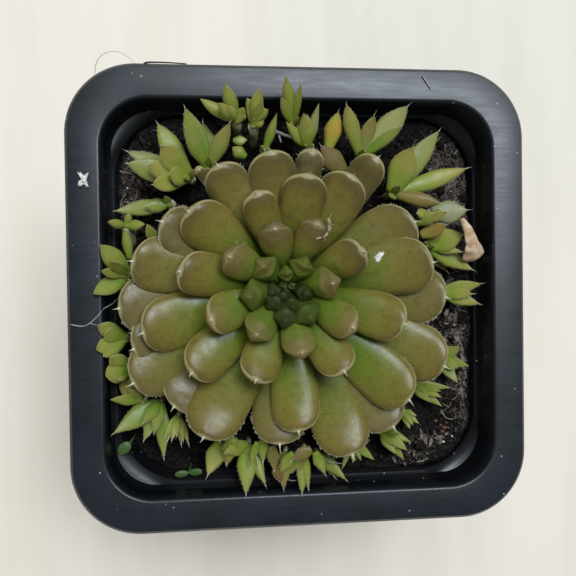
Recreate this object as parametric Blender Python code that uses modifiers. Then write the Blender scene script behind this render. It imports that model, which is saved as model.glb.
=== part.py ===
"""Potted orostachys: one mature rosette ringed by its offsets in a square nursery pot.

Lengths in the tables below are millimetres and become metres when a mesh is made.
The foot of the pot stands on z = 0, +X is the viewer's right and +Y is up in the
view from above. Heights of the plants are counted from the top of the pot's rim.
"""
import math

import bmesh
import bpy
from mathutils import Matrix, Vector
from mathutils.bvhtree import BVHTree

MM = 0.001
GAP = 0.34
WELD = 0.002

# Pot: rounded-square sections as (half width, corner radius, height from the rim).
RIM_Z = 80.0
CORNER_STEPS = 5
POT_SECTIONS = (
    (30.3, 13.3, -80.0),
    (31.2, 14.2, -79.0),
    (38.3, 14.2, -7.9),
    (39.5, 10.2, -7.0),
    (39.8, 10.2, -1.3),
    (43.8, 12.2, -1.3),
    (43.8, 12.2, -3.4),
    (45.0, 13.4, -3.4),
    (45.0, 13.4, -0.7),
    (44.3, 12.7, 0.0),
    (39.0, 9.7, 0.0),
    (38.3, 9.0, -0.7),
    (37.6, 8.6, -6.4),
    (37.1, 13.0, -6.7),
    (30.6, 13.2, -77.9),
    (29.9, 12.5, -78.6),
)
FLOOR_Z = -78.6
DRAIN_RADIUS = 3.2
DRAIN_SPOTS = ((22.0, 22.0), (22.0, 0.0))

# Soil: a filled block with a lumpy top that sinks toward one corner.
SOIL_TOP = -7.9
SOIL_SINK = 4.6
SOIL_RINGS = (0.0, 0.22, 0.44, 0.64, 0.82, 0.94, 1.0)
STEM_DEPTH = 3.0

# Mature rosette: the crown leans a little toward the viewer's lower side.
CROWN_ORIGIN = (-3.6, 2.4, -2.0)
CROWN_LEAN = 5.0
CROWN_LEAN_HEADING = 255.0
# Top of the core as (radius, height from the rim); below it the stem is a cylinder.
CORE_TOP = ((0.0, 4.0), (0.9, 3.9), (2.2, 3.2), (3.4, 1.5), (4.4, -1.5), (4.0, -3.5))
CORE_RADIUS = 2.8
# Tip height above the crown origin and blade half width, both against reach.
TIP_HEIGHT = ((0, 7.0), (2, 9.4), (3, 11.0), (6, 12.7), (9, 13.8), (12, 14.1), (16, 13.5),
              (20, 12.3), (25, 10.3), (30, 8.4), (34, 7.2), (40, 5.6))
HALF_WIDTH = ((1.2, 0.9), (2.4, 1.4), (3.2, 1.7), (5, 2.3), (7, 2.7), (10, 3.0), (13, 3.2),
              (16, 3.6), (19, 4.0), (23, 4.4), (27, 5.0), (30, 5.5), (33, 5.8), (36, 5.6))
THICKNESS = ((1.2, 1.5), (2.4, 2.3), (5, 3.2), (7, 3.6), (11, 3.4), (15, 3.2), (36, 2.9))
ROOT_HEIGHT = ((0, 6.2), (6, 5.0), (12, 3.9), (20, 2.6), (28, 1.4), (36, 0.2))
ROOT_RADIUS = ((0, 0.5), (6, 1.8), (14, 2.6), (36, 3.2))
# Leaves from the heart outward: (heading in degrees, reach of the tip). A third
# number is the half width where it isn't the usual one, below 1 for a narrow bud that
# stands among the outer leaves; a fourth is how far the leaf is raised.
LEAVES = (
    (30, 1.2), (125, 1.3), (240, 1.9), (188, 3.0), (285, 3.4), (347, 3.5), (94, 3.2),
    (222, 4.1), (58, 5.6), (264, 5.8), (308, 6.6), (136, 6.8), (187, 7.6), (10, 8.5),
    (232, 10.3), (281, 11.9), (103, 12.1), (67, 13.6, 2.9),
    (149, 13.0), (330, 14.0), (199, 15.6, 3.8), (28, 15.8, 3.5), (249, 18.0), (304, 18.8),
    (108, 19.1, 3.2), (169, 20.7), (80, 21.8), (141, 23.7, 4.8), (343, 23.5), (220, 24.2),
    (60, 24.6), (97, 26.0, 4.5), (126, 28.3, 0.95), (119, 26.6, 4.1), (151, 26.9, 4.7, -1.0),
    (27, 28.0, 5.7, -1.4), (274, 28.0, 4.7), (10, 28.5, 5.5, 0.6), (196, 28.7),
    (55, 30.2, 3.3), (169, 29.7), (267, 31.2, 5.5, -1.2), (356, 31.6, 5.6, -0.8),
    (201, 31.9, 5.6, -1.5), (226, 32.1, 5.5, -1.7), (186, 32.3, 5.6, -0.8),
    (317, 32.8, 5.3, 0.8), (240, 33.0, 5.6, 1.2), (211, 34.8), (333, 35.1, 5.7, 0.6),
    (307, 35.8, 5.4, -1.1), (291, 36.1), (79, 27.0, 2.6, -2.6),
)
# The last stretch up to a tip is a hair-thin spine that is left out here.
SPINE = 1.2

# Offsets: head position, foot of the stem (None is right below the head), then
# the leaves as (heading, rise above level, length, blade width).
OFFSETS = (
    ((-21.8, 23.5, -2.0), None,
     ((158, 9, 13.0, 2.9), (169, 14, 12.4, 3.8), (199, 40, 9.3, 2.8), (134, 40, 9.4, 4.1),
      (120, 9, 12.2, 3.3))),
    ((-18.2, 25.3, -1.0), None,
     ((111, 19, 12.3, 3.4), (120, 12, 9.3, 2.5), (96, -12, 10.0, 2.4), (61, 23, 10.1, 2.6))),
    ((-25.8, 18.6, -3.0), None, ((188, 5, 10.9, 2.0), (189, 21, 5.5, 1.8))),
    ((-34.3, 14.3, -3.0), (-33.8, 9.5),
     ((166, 19, 3.4, 2.0), (3, 27, 4.4, 2.3), (66, 36, 3.4, 1.6))),
    ((-33.8, 4.8, -3.0), None,
     ((128, 35, 8.7, 3.2), (170, 56, 7.3, 1.5), (131, 69, 8.6, 1.7), (211, 37, 8.4, 3.0))),
    ((-34.6, -7.5, -4.0), None,
     ((148, 50, 7.8, 2.1), (199, 50, 7.6, 2.5), (220, 47, 6.9, 1.9))),
    ((-34.0, -13.6, -5.0), None,
     ((193, 34, 5.4, 3.0), (209, 62, 5.7, 1.9), (142, 48, 5.4, 1.9), (257, 10, 5.8, 2.4))),
    ((-32.1, -20.0, -5.0), None, ((177, 7, 6.0, 2.0), (137, 37, 3.4, 2.0))),
    ((-28.5, -20.5, -5.0), None,
     ((211, 20, 11.0, 3.9), (247, 21, 8.4, 3.0), (274, 10, 11.4, 2.6))),
    ((-25.0, -23.3, -5.0), None,
     ((236, 34, 5.4, 1.6), (256, 33, 5.6, 2.0), (276, 9, 6.1, 1.4), (290, 9, 6.5, 1.4))),
    ((-16.4, -28.6, -5.0), None, ((246, 15, 7.8, 3.4), (280, 20, 5.0, 2.0))),
    ((-11.2, -29.8, -5.0), None,
     ((266, 24, 10.0, 4.3), (189, 42, 6.0, 3.1), (271, 51, 5.1, 1.6), (294, 19, 9.1, 3.1))),
    ((-3.6, -31.8, -6.0), None,
     ((226, 37, 4.9, 1.8), (267, 7, 5.5, 1.8), (259, 37, 5.0, 2.8))),
    ((0.2, -31.3, -5.0), None,
     ((263, 27, 9.0, 2.3), (274, 22, 8.2, 1.6), (223, 51, 3.9, 1.8))),
    ((2.8, -32.1, -6.0), None, ((290, 24, 4.9, 1.6), (318, 20, 8.7, 2.4))),
    ((10.4, -30.3, -6.0), None,
     ((246, 10, 6.0, 1.2), (293, 28, 4.2, 1.3), (322, 31, 5.8, 1.6))),
    ((16.8, -28.1, -6.0), None,
     ((294, 33, 5.5, 2.4), (321, 28, 6.4, 2.4), (9, 66, 5.5, 1.9))),
    ((21.1, -24.1, -6.0), None, ((302, 32, 3.8, 1.5), (340, 30, 3.2, 1.3))),
    ((23.3, -18.7, -6.0), None,
     ((322, 16, 7.5, 2.0), (348, 30, 6.1, 1.8), (355, 15, 7.9, 1.6), (306, 16, 3.6, 1.3))),
    ((29.3, -13.4, -6.0), None,
     ((302, 19, 6.2, 2.2), (327, 43, 4.4, 2.4), (39, 36, 5.1, 2.4))),
    ((29.1, 0.5, -5.0), None, ((12, 20, 8.9, 2.4), (341, 20, 8.7, 2.4))),
    ((25.6, 10.0, -3.0), None,
     ((332, 5, 11.2, 2.8), (348, 23, 7.7, 1.7), (17, 29, 8.2, 2.3), (314, -15, 7.9, 1.8),
      (53, 35, 5.2, 2.3))),
    ((26.1, 16.4, -2.0), None, ((5, 7, 8.1, 3.9), (187, 48, 6.7, 1.9), (357, 51, 3.9, 1.5))),
    ((18.0, 20.3, -1.0), None,
     ((18, 7, 16.2, 3.1), (53, 7, 15.8, 3.8), (71, 29, 10.4, 4.7), (346, 17, 10.1, 2.5))),
    ((11.7, 27.4, -1.0), None,
     ((47, 13, 13.8, 4.2), (74, 20, 8.9, 2.7), (110, 21, 11.1, 2.8))),
    ((5.4, 29.1, -2.0), None, ((77, 29, 8.2, 2.7),)),
    ((1.1, 29.3, -1.0), None,
     ((76, 27, 8.8, 1.9), (102, 42, 7.5, 2.6), (138, 34, 7.2, 2.1))),
    ((-1.6, 33.7, -1.0), (-0.6, 31.5),
     ((105, 43, 10.2, 2.6), (82, 50, 9.1, 1.6), (128, 53, 7.5, 2.0))),
    ((-9.5, 32.9, 1.0), (-9.4, 30.5),
     ((80, 41, 7.6, 2.6), (68, 55, 6.1, 2.4), (39, 50, 5.3, 1.5), (15, 50, 2.9, 1.9))),
    ((-12.7, 33.7, 1.0), (-12.6, 31.8),
     ((153, 22, 8.0, 2.4), (109, 40, 7.7, 2.8), (147, 52, 6.3, 2.2), (52, 55, 3.9, 1.9))),
    ((-7.1, 29.0, -2.0), None, ((71, 23, 7.6, 1.7),)),
    ((-28.9, 11.3, -4.0), None, ((109, 43, 4.6, 1.9),)),
)
STEM_RADIUS = 0.8
SEED_RADIUS = 0.36
SEED_DEPTH = 2.0

# A withered leaf that stands in the soil: (centre, half width) along its length.
DRY_LEAF = (((34.8, 6.6, -11.2), 0.6), ((34.9, 6.9, -4.0), 0.6), ((34.8, 7.4, -0.8), 2.4),
            ((34.2, 8.8, 0.8), 1.9), ((33.4, 10.4, 1.8), 1.3), ((32.3, 12.9, 2.6), 0.95),
            ((31.0, 15.0, 2.7), 0.5))
DRY_HEADING = 105.0
DRY_THICK = 0.7

# Seedlings in the sunken corner: foot and height, then (heading, length, half width).
SEEDLINGS = (
    ((-34.6, -28.6, -5.6), ((222, 2.8, 1.15),)),
    ((-23.2, -35.4, -6.4), ((6, 2.7, 0.75), (184, 2.7, 0.72))),
)

# Leaf outlines: (position along the leaf, width share, thickness share).
BROAD = ((0.0, 0.40, 0.42), (0.34, 0.67, 0.66), (0.64, 0.97, 0.95), (0.84, 0.97, 1.0),
         (0.945, 0.73, 0.78), (0.99, 0.38, 0.44))
POINTED = ((0.0, 0.80, 0.80), (0.42, 1.0, 1.0), (0.80, 0.68, 0.80))
ROUND = ((0.0, 0.35, 1.0), (0.25, 0.90, 1.0), (0.62, 1.0, 1.0), (0.90, 0.62, 1.0))
HEXAGON = ((-1.0, 0.0), (-0.5, 0.36), (0.5, 0.36), (1.0, 0.0), (0.5, -0.64), (-0.5, -0.64))
KEELED = ((-1.0, 0.2), (1.0, 0.2), (0.0, -0.8))


def lerp(table, x):
    """Read a table of (x, y) pairs as a polyline."""
    if x <= table[0][0]:
        return table[0][1]
    for (x0, y0), (x1, y1) in zip(table, table[1:]):
        if x <= x1:
            return y0 + (y1 - y0) * (x - x0) / (x1 - x0)
    return table[-1][1]


def heading_vector(degrees, rise=0.0):
    a = math.radians(degrees)
    r = math.radians(rise)
    return Vector((math.cos(a) * math.cos(r), math.sin(a) * math.cos(r), math.sin(r)))


def loft(rings, apex=None):
    """Skin equal rings of points; the start is capped, the end is capped or drawn to apex."""
    n = len(rings[0])
    points = [p.copy() for ring in rings for p in ring]
    faces = [tuple(reversed(range(n)))]
    for k in range(len(rings) - 1):
        for i in range(n):
            j = (i + 1) % n
            faces.append((k * n + i, k * n + j, (k + 1) * n + j, (k + 1) * n + i))
    last = (len(rings) - 1) * n
    if apex is None:
        faces.append(tuple(last + i for i in range(n)))
    else:
        points.append(apex.copy())
        faces += [(last + i, last + (i + 1) % n, len(points) - 1) for i in range(n)]
    return points, faces


def leaf(root, tip, heading, half, thick, sag, outline, section, short, end, grow=0.0):
    """A fleshy leaf on a curved midline: the blade stops short of the tip, then an end."""
    tip = tip - (tip - root).normalized() * short
    chord = tip - root
    side = Vector((-math.sin(math.radians(heading)), math.cos(math.radians(heading)), 0.0))
    above = chord.cross(side).normalized()
    bend = (root + tip) * 0.5 - above * (2.0 * sag * chord.length)
    rings = []
    for t, width, depth in outline:
        middle = root * (1 - t) ** 2 + bend * (2 * t * (1 - t)) + tip * t ** 2
        along = ((bend - root) * (1 - t) + (tip - bend) * t).normalized()
        normal = along.cross(side).normalized()
        if grow and t == 0.0:
            middle = middle - along * grow
        w = half * width + grow
        d = max(thick * depth, 0.62) + 2.0 * grow
        rings.append([middle + side * (w * a) + normal * (d * b) for a, b in section])
    return loft(rings, tip + (tip - bend).normalized() * (end + grow))


def crown_matrix():
    axis = heading_vector(CROWN_LEAN_HEADING + 90.0)
    turn = Matrix.Rotation(math.radians(CROWN_LEAN), 4, axis)
    return Matrix.Translation(Vector(CROWN_ORIGIN) + Vector((0, 0, RIM_Z))) @ turn


def crown_leaf(heading, reach, half=None, rise=0.0):
    out = heading_vector(heading)
    up = Vector((0, 0, 1))
    tip = out * reach + up * (lerp(TIP_HEIGHT, reach) + rise)
    root = out * lerp(ROOT_RADIUS, reach) + up * (lerp(ROOT_HEIGHT, reach) + 0.5 * rise)
    sag = 0.05 + 0.05 * max(0.0, 1.0 - reach / 20.0)
    half = half or lerp(HALF_WIDTH, reach)
    thick = lerp(THICKNESS, reach) if half > 1.0 or reach < 3.0 else 1.5
    points, faces = leaf(root, tip, heading, half, thick, sag, BROAD, HEXAGON, SPINE, 0.3)
    place = crown_matrix()
    return [place @ p for p in points], faces


def soil_height(x, y):
    """Height of the soil's top from the rim: low swells and a sunken corner."""
    swell = 0.45 * math.sin(0.21 * x + 1.3) * math.cos(0.17 * y - 0.4)
    swell += 0.30 * math.sin(0.47 * x - 0.31 * y + 0.7) + 0.2 * math.cos(0.63 * y + 0.29 * x)
    corner = max(0.0, min(1.0, (-x - y - 34.0) / 26.0))
    return SOIL_TOP + swell - SOIL_SINK * corner * corner * (3 - 2 * corner)


def rounded_square(half, radius, z, steps=CORNER_STEPS):
    ring = []
    for corner in range(4):
        turn = corner * 90.0
        centre = Vector((half - radius, half - radius, 0))
        spin = Matrix.Rotation(math.radians(turn), 3, 'Z')
        for i in range(steps + 1):
            a = math.radians(90.0 * i / steps)
            p = centre + Vector((radius * math.cos(a), radius * math.sin(a), 0))
            ring.append(spin @ p + Vector((0, 0, z)))
    return ring


def pot_solid():
    rings = [rounded_square(h, r, RIM_Z + z) for h, r, z in POT_SECTIONS]
    return loft(rings)


def wall_at(z):
    """Inner half width and corner radius of the pot's body at a height from the rim."""
    (h0, r0, z0), (h1, r1, z1) = POT_SECTIONS[13], POT_SECTIONS[14]
    s = (z - z0) / (z1 - z0)
    return h0 + (h1 - h0) * s, r0 + (r1 - r0) * s


def soil_solid():
    """The block in the pot: side sections from the floor up, then rings over the top."""
    rings = []
    for z in (FLOOR_Z + GAP, FLOOR_Z + 1.4, -46.0, -16.0):
        h, r = wall_at(z)
        rings.append(rounded_square(h - GAP - 0.05, r - GAP, RIM_Z + z))
    rings[0] = rounded_square(29.3, 12.0, RIM_Z + FLOOR_Z + GAP)
    h, r = wall_at(-9.0)
    edge = rounded_square(h - GAP - 0.1, r - GAP, 0.0)
    for share in reversed(SOIL_RINGS[1:]):
        ring = []
        for p in edge:
            x, y = p.x * share, p.y * share
            ring.append(Vector((x, y, RIM_Z + soil_height(x, y))))
        rings.append(ring)
    return loft(rings, Vector((0, 0, RIM_Z + soil_height(0, 0))))


def offset_stem(head, foot):
    """A bent stem from below the soil's top to the head, with a rounded crown knob."""
    hx, hy, hz = head
    fx, fy = foot if foot else (hx, hy)
    ground = RIM_Z + soil_height(fx, fy)
    top = Vector((hx, hy, RIM_Z + hz))
    path = [(Vector((fx, fy, ground - STEM_DEPTH)), 0.9), (Vector((fx, fy, ground + 0.3)), 1.0)]
    path.append((top + Vector((0, 0, 0.2)), 1.3))
    rings = []
    for centre, share in path:
        rings.append([centre + Vector((STEM_RADIUS * share * math.cos(math.tau * i / 5),
                                       STEM_RADIUS * share * math.sin(math.tau * i / 5), 0))
                      for i in range(5)])
    return loft(rings, top + Vector((0, 0, 1.0)))


def offset_leaf(head, heading, rise, length, width, grow=0.0):
    along = heading_vector(heading, rise)
    top = Vector(head) + Vector((0, 0, RIM_Z))
    root = top + along * 0.2
    tip = top + along * (length - 0.6)
    thick = 0.75 + 0.3 * width
    return leaf(root, tip, heading, 0.56 * width, thick, 0.05, POINTED, KEELED, 0.6, 0.6,
                grow)


def withered_leaf():
    """A dry blade with a fold down its middle, on a stalk that stands in the soil."""
    side = heading_vector(DRY_HEADING - 90.0)
    spots = [Vector(c) + Vector((0, 0, RIM_Z)) for c, _ in DRY_LEAF]
    rings = []
    for k, (_, half) in enumerate(DRY_LEAF):
        along = (spots[min(k + 1, len(spots) - 1)] - spots[max(k - 1, 0)]).normalized()
        up = side.cross(along).normalized()
        fold = 0.22 * half
        flat = ((-1, 0.0), (0, fold), (1, 0.0), (1, -DRY_THICK), (0, fold - DRY_THICK),
                (-1, -DRY_THICK))
        rings.append([spots[k] + side * (half * a) + up * b for a, b in flat])
    return loft(rings)


def seedling(foot, leaves):
    """A thin stalk in the soil with one or two rounded seed leaves: stalk, then leaves."""
    x, y, z = foot
    ground = RIM_Z + soil_height(x, y)
    top = Vector((x, y, RIM_Z + z))
    rings = []
    for height, radius in ((ground - SEED_DEPTH, SEED_RADIUS), (top.z, SEED_RADIUS + 0.04)):
        rings.append([Vector((x + radius * math.cos(math.tau * i / 5),
                              y + radius * math.sin(math.tau * i / 5), height))
                      for i in range(5)])
    solids = [loft(rings, top + Vector((0, 0, 0.4)))]
    for heading, length, half in leaves:
        tip = top + heading_vector(heading, 8) * length
        solids.append(leaf(top, tip, heading, half, 0.66, 0.03, ROUND, HEXAGON, 0.1, 0.1))
    return solids


def is_shaded(head, crown):
    """True where the crown's leaves pass over a head, so that it has no shaded leaves."""
    start = Vector(head) + Vector((0, 0, RIM_Z + 1.2))
    return any(t.ray_cast(start, Vector((0, 0, 1)), 14.0)[0] for t in crown)


def inner_leaves(seen):
    """The short leaves of a head that face back to the crown, and its upright heart."""
    long = max(item[2] for item in seen)
    wide = max(item[3] for item in seen)
    out = seen[len(seen) // 2][0]
    return ((out + 148, 52, 0.46 * long, 0.85 * wide), (out - 70, 74, 0.44 * long, 0.8 * wide))


def trials():
    """Ways to bend a leaf out of its neighbours' way, the smallest change first."""
    ways = []
    for turn in (0, 7, -7, 14, -14, 22, -22):
        for lift in (0, -6, 6, -12, 12, -20, 20, 30):
            for scale in (1.0, 0.88, 0.76, 0.64):
                cost = abs(turn) / 8 + abs(lift) / 7 + (1 - scale) * 9
                ways.append((cost, turn, lift, scale))
    return [w[1:] for w in sorted(ways)]


def tree(solid):
    return BVHTree.FromPolygons(solid[0], solid[1], all_triangles=False)


def lay_out_offsets():
    """Stem and leaves of every offset, each leaf bent until it is clear of the rest."""
    crown = [tree(crown_leaf(*item)) for item in LEAVES]
    fixed = [tree(pot_solid()), tree(soil_solid()), tree(withered_leaf())] + crown
    for foot, leaves in SEEDLINGS:
        fixed += [tree(s) for s in seedling(foot, leaves)]
    stems = [offset_stem(head, foot) for head, foot, _ in OFFSETS]
    stem_trees = [tree(s) for s in stems]
    ways = trials()
    placed = []
    offsets = []
    for k, (head, foot, seen) in enumerate(OFFSETS):
        leaves = seen if is_shaded(head, crown) else seen + inner_leaves(seen)
        others = fixed + placed + [t for i, t in enumerate(stem_trees) if i != k]
        chosen = []
        for heading, rise, length, width in leaves:
            for turn, lift, scale in ways:
                spec = (heading + turn, rise + lift, length * scale, width)
                probe = tree(offset_leaf(head, *spec, grow=GAP))
                if not any(probe.overlap(o) for o in others):
                    chosen.append(spec)
                    break
        solids = [offset_leaf(head, *spec) for spec in chosen]
        placed += [tree(s) for s in solids]
        offsets.append((stems[k], solids, chosen))
    return offsets


def material(name, colour, roughness):
    m = bpy.data.materials.new(name)
    m.use_nodes = True
    shader = m.node_tree.nodes["Principled BSDF"]
    shader.inputs["Base Color"].default_value = (*colour, 1.0)
    shader.inputs["Roughness"].default_value = roughness
    shader.inputs["Metallic"].default_value = 0.0
    return m


def make_object(name, solid, mat, collection):
    """Turn points in millimetres into a mesh object in metres with outward faces."""
    mesh = bpy.data.meshes.new(name)
    mesh.from_pydata([p * MM for p in solid[0]], [], solid[1])
    bm = bmesh.new()
    bm.from_mesh(mesh)
    bmesh.ops.recalc_face_normals(bm, faces=bm.faces)
    bmesh.ops.triangulate(bm, faces=[f for f in bm.faces if len(f.verts) > 4])
    bm.to_mesh(mesh)
    bm.free()
    mesh.materials.append(mat)
    obj = bpy.data.objects.new(name, mesh)
    collection.objects.link(obj)
    return obj


def make_cylinder(name, x, y, low, high, radius, sides, mat, collection):
    """An upright cylinder between two heights, all in millimetres."""
    mesh = bpy.data.meshes.new(name)
    bm = bmesh.new()
    place = Matrix.Translation(Vector((x, y, (low + high) / 2)) * MM)
    bmesh.ops.create_cone(bm, cap_ends=True, cap_tris=False, segments=sides,
                          radius1=radius * MM, radius2=radius * MM,
                          depth=(high - low) * MM, matrix=place)
    bm.to_mesh(mesh)
    bm.free()
    mesh.materials.append(mat)
    obj = bpy.data.objects.new(name, mesh)
    collection.objects.link(obj)
    return obj


def make_turned(name, profile, x, y, sides, mat, collection):
    """A turned solid: a (radius, height) profile from top to bottom with a Screw."""
    mesh = bpy.data.meshes.new(name)
    points = [(r * MM, 0.0, z * MM) for r, z in profile]
    mesh.from_pydata(points, [(i, i + 1) for i in range(len(points) - 1)], [])
    mesh.materials.append(mat)
    obj = bpy.data.objects.new(name, mesh)
    obj.location = Vector((x, y, RIM_Z)) * MM
    collection.objects.link(obj)
    screw = obj.modifiers.new("turn", 'SCREW')
    screw.steps = sides
    screw.render_steps = sides
    screw.use_merge_vertices = True
    screw.merge_threshold = 0.0001
    screw.use_smooth_shade = False
    return obj


def helper_collection(name):
    helpers = bpy.data.collections.new(name + "_helpers")
    bpy.context.scene.collection.children.link(helpers)
    return helpers


def combine(obj, helpers, operation):
    """One Boolean of an object with a collection of helpers, applied; the helpers go."""
    for helper in helpers.objects:
        helper.hide_render = True
        helper.display_type = 'WIRE'
    boolean = obj.modifiers.new("join", 'BOOLEAN')
    boolean.operation = operation
    boolean.operand_type = 'COLLECTION'
    boolean.collection = helpers
    boolean.solver = 'MANIFOLD'
    bpy.context.view_layer.update()
    seen = obj.evaluated_get(bpy.context.evaluated_depsgraph_get())
    mesh = bpy.data.meshes.new_from_object(seen)
    obj.modifiers.clear()
    obj.data = mesh
    mesh.name = obj.name
    for helper in list(helpers.objects):
        bpy.data.objects.remove(helper, do_unlink=True)
    bpy.data.collections.remove(helpers)


def keep_outer_skin(obj):
    """Weld slivers, fill the pockets that a union seals and keep only the largest skin."""
    bm = bmesh.new()
    bm.from_mesh(obj.data)
    bmesh.ops.triangulate(bm, faces=[f for f in bm.faces if len(f.verts) > 3])
    bmesh.ops.remove_doubles(bm, verts=bm.verts, dist=WELD * MM)
    bmesh.ops.dissolve_degenerate(bm, edges=bm.edges, dist=WELD * MM)
    left = set(bm.faces)
    skins = []
    while left:
        front = [left.pop()]
        skin = set(front)
        while front:
            for e in front.pop().edges:
                for f in e.link_faces:
                    if f in left:
                        skin.add(f)
                        left.discard(f)
                        front.append(f)
        skins.append(skin)

    def spread(skin):
        across = [v.co.x for f in skin for v in f.verts]
        return max(across) - min(across)

    skins.sort(key=spread, reverse=True)
    scrap = [f for skin in skins[1:] for f in skin]
    bmesh.ops.delete(bm, geom=scrap, context='FACES')
    loose = [v for v in bm.verts if not v.link_faces]
    bmesh.ops.delete(bm, geom=loose, context='VERTS')
    bm.to_mesh(obj.data)
    bm.free()


def join_leaves(obj, leaves, mat):
    """Fuse leaf solids into the object that they grow from."""
    helpers = helper_collection(obj.name)
    for i, solid in enumerate(leaves):
        make_object("%s_leaf_%02d" % (obj.name, i), solid, mat, helpers)
    combine(obj, helpers, 'UNION')
    keep_outer_skin(obj)


def build_pot(part):
    mat = material("pot_plastic", (0.035, 0.042, 0.052), 0.45)
    pot = make_object("pot", pot_solid(), mat, part)
    helpers = helper_collection("pot")
    for x, y in DRAIN_SPOTS:
        for quarter in range(4):
            spot = Matrix.Rotation(math.radians(90.0 * quarter), 3, 'Z') @ Vector((x, y, 0))
            make_cylinder("pot_drain", spot.x, spot.y, -1.0, 3.0, DRAIN_RADIUS, 12, mat,
                          helpers)
    combine(pot, helpers, 'DIFFERENCE')
    pot.data.shade_smooth()
    pot.data.set_sharp_from_angle(angle=math.radians(35.0))


def build_soil(part):
    """The soil block, with a plain hole for every stem that stands in it."""
    mat = material("potting_soil", (0.045, 0.032, 0.024), 0.95)
    soil = make_object("soil", soil_solid(), mat, part)
    holes = [(CROWN_ORIGIN[0], CROWN_ORIGIN[1], CORE_RADIUS + 0.9, STEM_DEPTH + GAP)]
    for head, foot, _ in OFFSETS:
        fx, fy = foot if foot else head[:2]
        holes.append((fx, fy, STEM_RADIUS + 0.62, STEM_DEPTH + GAP))
    for spot, _ in SEEDLINGS:
        holes.append((spot[0], spot[1], SEED_RADIUS + 0.54, SEED_DEPTH + GAP))
    x, y, z = DRY_LEAF[0][0]
    holes.append((x, y, 1.4, soil_height(x, y) - z + GAP))
    helpers = helper_collection("soil")
    for x, y, radius, depth in holes:
        ground = RIM_Z + soil_height(x, y)
        make_cylinder("soil_hole", x, y, ground - depth, ground + 3.0, radius, 6, mat, helpers)
    combine(soil, helpers, 'DIFFERENCE')


def build_rosette(part):
    """The mature plant: a turned core that stands in the soil, with its leaves."""
    mat = material("mature_leaf", (0.20, 0.19, 0.055), 0.42)
    x, y, _ = CROWN_ORIGIN
    foot = soil_height(x, y) - STEM_DEPTH
    profile = CORE_TOP + ((CORE_RADIUS, foot + 4.0), (CORE_RADIUS - 0.2, foot), (0.0, foot))
    rosette = make_turned("rosette", profile, x, y, 12, mat, part)
    join_leaves(rosette, [crown_leaf(*item) for item in LEAVES], mat)


def build_offsets(part):
    mat = material("young_leaf", (0.27, 0.33, 0.07), 0.45)
    for k, (stem, solids, _) in enumerate(lay_out_offsets()):
        join_leaves(make_object("offset_%02d" % (k + 1), stem, mat, part), solids, mat)


def build():
    for obj in list(bpy.data.objects):
        bpy.data.objects.remove(obj, do_unlink=True)
    part = bpy.data.collections.new("potted_orostachys")
    bpy.context.scene.collection.children.link(part)
    build_pot(part)
    build_soil(part)
    build_rosette(part)
    build_offsets(part)
    dry_mat = material("dry_leaf", (0.62, 0.47, 0.29), 0.8)
    make_object("dry_leaf", withered_leaf(), dry_mat, part)
    seed_mat = material("seed_leaf", (0.20, 0.32, 0.10), 0.5)
    for k, (spot, leaves) in enumerate(SEEDLINGS):
        stalk, *blades = seedling(spot, leaves)
        join_leaves(make_object("seedling_%d" % (k + 1), stalk, seed_mat, part), blades,
                    seed_mat)


build()
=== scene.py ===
"""Looks of the potted orostachys: smooth leaves, spines, peat and plastic round the frame.

Lengths are millimetres until a mesh is made, and heights count from the top of the pot's
rim. The layout repeats the part's own tables, so every fine piece lies where the solid that
it replaces lies.
"""
import math
import random

import bmesh
import bpy
from mathutils import Matrix, Vector, noise


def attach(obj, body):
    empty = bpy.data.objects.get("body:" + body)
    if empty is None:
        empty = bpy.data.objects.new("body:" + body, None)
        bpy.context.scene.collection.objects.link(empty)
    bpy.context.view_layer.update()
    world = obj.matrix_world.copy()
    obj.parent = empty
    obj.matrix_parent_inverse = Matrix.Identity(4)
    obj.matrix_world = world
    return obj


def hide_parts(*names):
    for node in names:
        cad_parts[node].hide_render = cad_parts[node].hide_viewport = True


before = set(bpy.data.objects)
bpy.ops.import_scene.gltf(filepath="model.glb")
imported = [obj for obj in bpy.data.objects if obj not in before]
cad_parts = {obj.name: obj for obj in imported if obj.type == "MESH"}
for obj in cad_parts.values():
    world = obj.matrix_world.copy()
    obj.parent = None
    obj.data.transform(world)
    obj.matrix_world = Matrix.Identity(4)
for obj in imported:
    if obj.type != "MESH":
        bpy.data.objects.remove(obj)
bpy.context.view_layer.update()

MM = 0.001
SEED = 7

# The view from above: place in metres, rows of the rotation, lens and sensor.
CAMERA_PLACE = (-0.01434, 0.00352, 0.19614)
CAMERA_ROWS = ((0.9952, -0.0133, 0.0965), (0.0146, 0.9998, -0.0128), (-0.0963, 0.0141, 0.9953))
CAMERA_LENS = 37.5
CAMERA_SENSOR = 36.0
# Strengths of the sky and of the lamps, how far off these stand, and what they face.
SKY = 0.10
WINDOW = 16.5
PANE = 13.5
ROOM = 6.5
LAMP_DISTANCE = 1.6
LAMP_AIM = (0.0, 0.0, 0.07)

# Heights of the rim over the ground and of the pot's inner floor from the rim.
RIM_Z = 80.0
FLOOR_Z = -78.6
# The pot's shell, up the outside, over the flange and down the inside:
# (half width, corner radius, height).
POT_SECTIONS = (
    (30.3, 13.3, -80.0), (31.2, 14.2, -79.0), (38.3, 14.2, -7.9), (39.5, 10.2, -7.0),
    (39.8, 10.2, -1.3), (43.8, 12.2, -1.3), (43.8, 12.2, -3.4), (45.0, 13.4, -3.4),
    (45.0, 13.4, -0.7), (44.3, 12.7, 0.0), (39.0, 9.7, 0.0), (38.3, 9.0, -0.7),
    (37.6, 8.6, -6.4), (37.1, 13.0, -6.7), (30.6, 13.2, -77.9), (29.9, 12.5, -78.6),
)
# The sections where the lip and the ledge start, and how far the ledge rolls down.
LIP = 10
LEDGE = 12
LEDGE_DROP = 1.0
CORNER_STEPS = 22
DRAIN_RADIUS = 3.2
DRAIN_SPOTS = ((22.0, 22.0), (22.0, 0.0))
DRAIN_CUT = 6.0
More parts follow.
